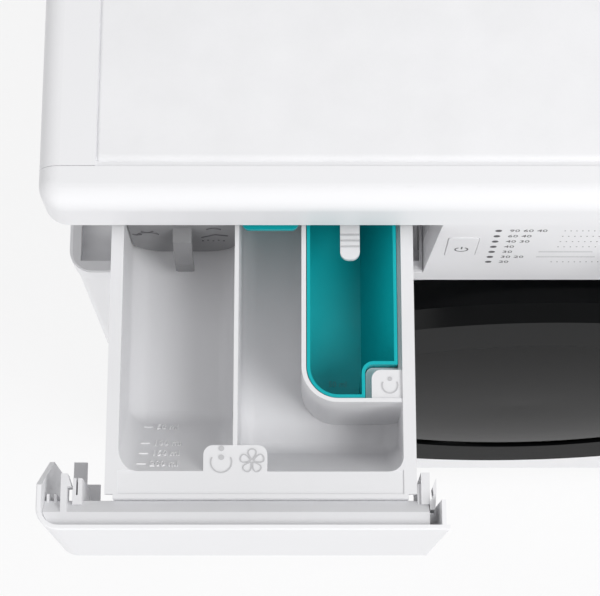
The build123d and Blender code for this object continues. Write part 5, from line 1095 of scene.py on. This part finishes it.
# Raised strokes on the flap: a turn arrow under a small bow, and a level line under another
flapMarks = {
    "face": -265.75,
    "rise": 0.4,
    "line": 0.8,
    "arrowCentre": (-246.5, 774),
    "arrowRadius": 6.5,
    "arrowArc": (25, 165),
    "barbs": [(-2.4, 2.0), (2.8, 1.4)],
    "bows": [((-246.5, 784), 3.5, (200, 340)), ((-209, 783), 5, (40, 140))],
    "bowSteps": 8,
    "levelLine": [(-216.5, 771), (-208.5, 776.5), (-201.5, 774)],
    "levelDots": [(-216, 765), (-213, 766), (-210, 765), (-207, 766), (-204, 765)],
    "dotRadius": 0.6,
    "dotSteps": 8,
}


def drawFlap(setup):
    sheet = frontSheet(setup["face"], setup["rise"])
    line, radius = setup["line"], setup["arrowRadius"]
    sheet.arc(setup["arrowCentre"], radius, setup["arrowArc"], line)
    tipAngle = math.radians(setup["arrowArc"][1])
    tipX = setup["arrowCentre"][0] + radius * math.cos(tipAngle)
    tipZ = setup["arrowCentre"][1] + radius * math.sin(tipAngle)
    left, right = [(tipX + x, tipZ + z) for x, z in setup["barbs"]]
    sheet.stroke([left, (tipX, tipZ), right], line)
    sheet.stroke(setup["levelLine"], line)
    for centre, bowRadius, span in setup["bows"]:
        sheet.arc(centre, bowRadius, span, line, setup["bowSteps"])
    for dot in setup["levelDots"]:
        sheet.disc(dot, setup["dotRadius"], setup["dotSteps"])
    sheet.piece("flapMarks", "flap", "markFlap")


drawFlap(flapMarks)

# Printing on the fascia: rows of plain numbers on both sides of the dial, with leaders and ticks
fasciaPrint = {
    "face": -268.5,
    "rise": 0.08,
    "sink": 0.1,
    "rows": [("90 60 40", "dots"), ("60 40", "dots"), ("40 30", "dots"), ("40", "dots"), ("30", "line"),
             ("30 20", "line"), ("20", "dots")],
    "rowTop": 792,
    "rowPitch": 10,
    "iconPlace": -50,
    "iconRadius": 1.9,
    "wordsLeft": -44,
    "wordSize": 6.0,
    "lineLeft": -23,
    "lineWidth": 0.35,
    "dotsLeft": -13,
    "dotStep": 3.2,
    "dotRadius": 0.45,
    "dotSides": 8,
    "dial": (45, 757),
    "leaderReach": 37,
    "leastReach": 6.0,
    "tickRadius": 27,
    "tickCount": 28,
    "tickLength": 3,
    "tickWidth": 0.6,
    "rightFirst": 8,
    "rightLeft": 94,
    "rightSize": 4.8,
    "rightDotsEnd": 91,
}


# How far from the dial's axis the leaders of a row end
def rowReach(setup, height):
    drop = abs(height - setup["dial"][1])
    return math.sqrt(max(setup["leastReach"] ** 2, setup["leaderReach"] ** 2 - drop ** 2))


def printFascia(setup):
    face, rise, sink = setup["face"], setup["rise"], setup["sink"]
    dialX, dialZ = setup["dial"]
    sheet = frontSheet(face, rise)
    dotted = []
    for i, (words, leader) in enumerate(setup["rows"]):
        height = setup["rowTop"] - setup["rowPitch"] * i
        reach = rowReach(setup, height)
        sheet.disc((setup["iconPlace"], height), setup["iconRadius"])
        sheet.words(words, (setup["wordsLeft"], height), setup["wordSize"])
        if leader == "line":
            sheet.stroke([(setup["lineLeft"], height), (dialX - reach, height)], setup["lineWidth"])
        else:
            dotted.append([(setup["dotsLeft"], face, height), (dialX - reach, face, height)])
        sheet.words(str(setup["rightFirst"] + i), (setup["rightLeft"], height), setup["rightSize"])
        dotted.append([(dialX + reach, face, height), (setup["rightDotsEnd"], face, height)])
    sheet.piece("fasciaNumbers", "cabinet", "markDark")
    dot = stacked([(setup["dotRadius"], -rise), (setup["dotRadius"], sink)], setup["dotSides"])
    copyPiece("leaderDots", dot, lineMesh("leaderDots", dotted), alongLines, {"Step": setup["dotStep"] * mm},
              "cabinet", "markDark")
    tick = meshFrom("dialTick", *bar((0, setup["tickLength"]), (-rise, sink), setup["tickWidth"]))
    values = rowValues(setup["tickRadius"], (dialX, face, dialZ), setup["tickCount"])
    growPiece("dialTicks", tick, ringRows, values, "cabinet", "markDark")


printFascia(fasciaPrint)

# Power sign on the key, pointer on the knob, digits on the window and touch rings under it
controls = {
    "keyFace": -268.9,
    "keyRise": 0.08,
    "keySign": (-68, 758),
    "signRadius": 3.6,
    "signArc": (120, 420),
    "signSteps": 24,
    "signBar": (0.8, 4.8),
    "signLine": 0.8,
    "knobFace": -287.5,
    "knobRise": 0.1,
    "pointer": [(45, 766), (45, 776.5)],
    "pointerWidth": 1.6,
    "windowFace": -268.9,
    "windowRise": 0.06,
    "windowSink": 0.05,
    "digits": ("0:45", (178, 757), 24),
    "touchRise": 0.08,
    "touchRow": [(130, 716), (154, 716), (178, 716), (202, 716), (226, 716)],
    "touchRadius": 3.4,
    "touchSides": 24,
    "touchLine": 0.5,
}


def markControls(setup):
    key = frontSheet(setup["keyFace"], setup["keyRise"])
    x, z = setup["keySign"]
    key.arc((x, z), setup["signRadius"], setup["signArc"], setup["signLine"], setup["signSteps"])
    key.stroke([(x, z + end) for end in setup["signBar"]], setup["signLine"])
    key.piece("keySign", "key", "markDark")
    knob = frontSheet(setup["knobFace"], setup["knobRise"])
    knob.stroke(setup["pointer"], setup["pointerWidth"])
    knob.piece("knobPointer", "knob", "markDark")
    window = frontSheet(setup["windowFace"], setup["windowRise"], sink=setup["windowSink"])
    words, place, size = setup["digits"]
    window.words(words, place, size, "CENTER")
    window.piece("windowDigits", "cabinet", "markGlow")
    touch = frontSheet(fasciaPrint["face"], setup["touchRise"])
    for place in setup["touchRow"]:
        touch.stroke(circle(setup["touchRadius"], setup["touchSides"], place), setup["touchLine"], True)
    touch.piece("touchRings", "cabinet", "markDark")


markControls(controls)
print("marks drawn")
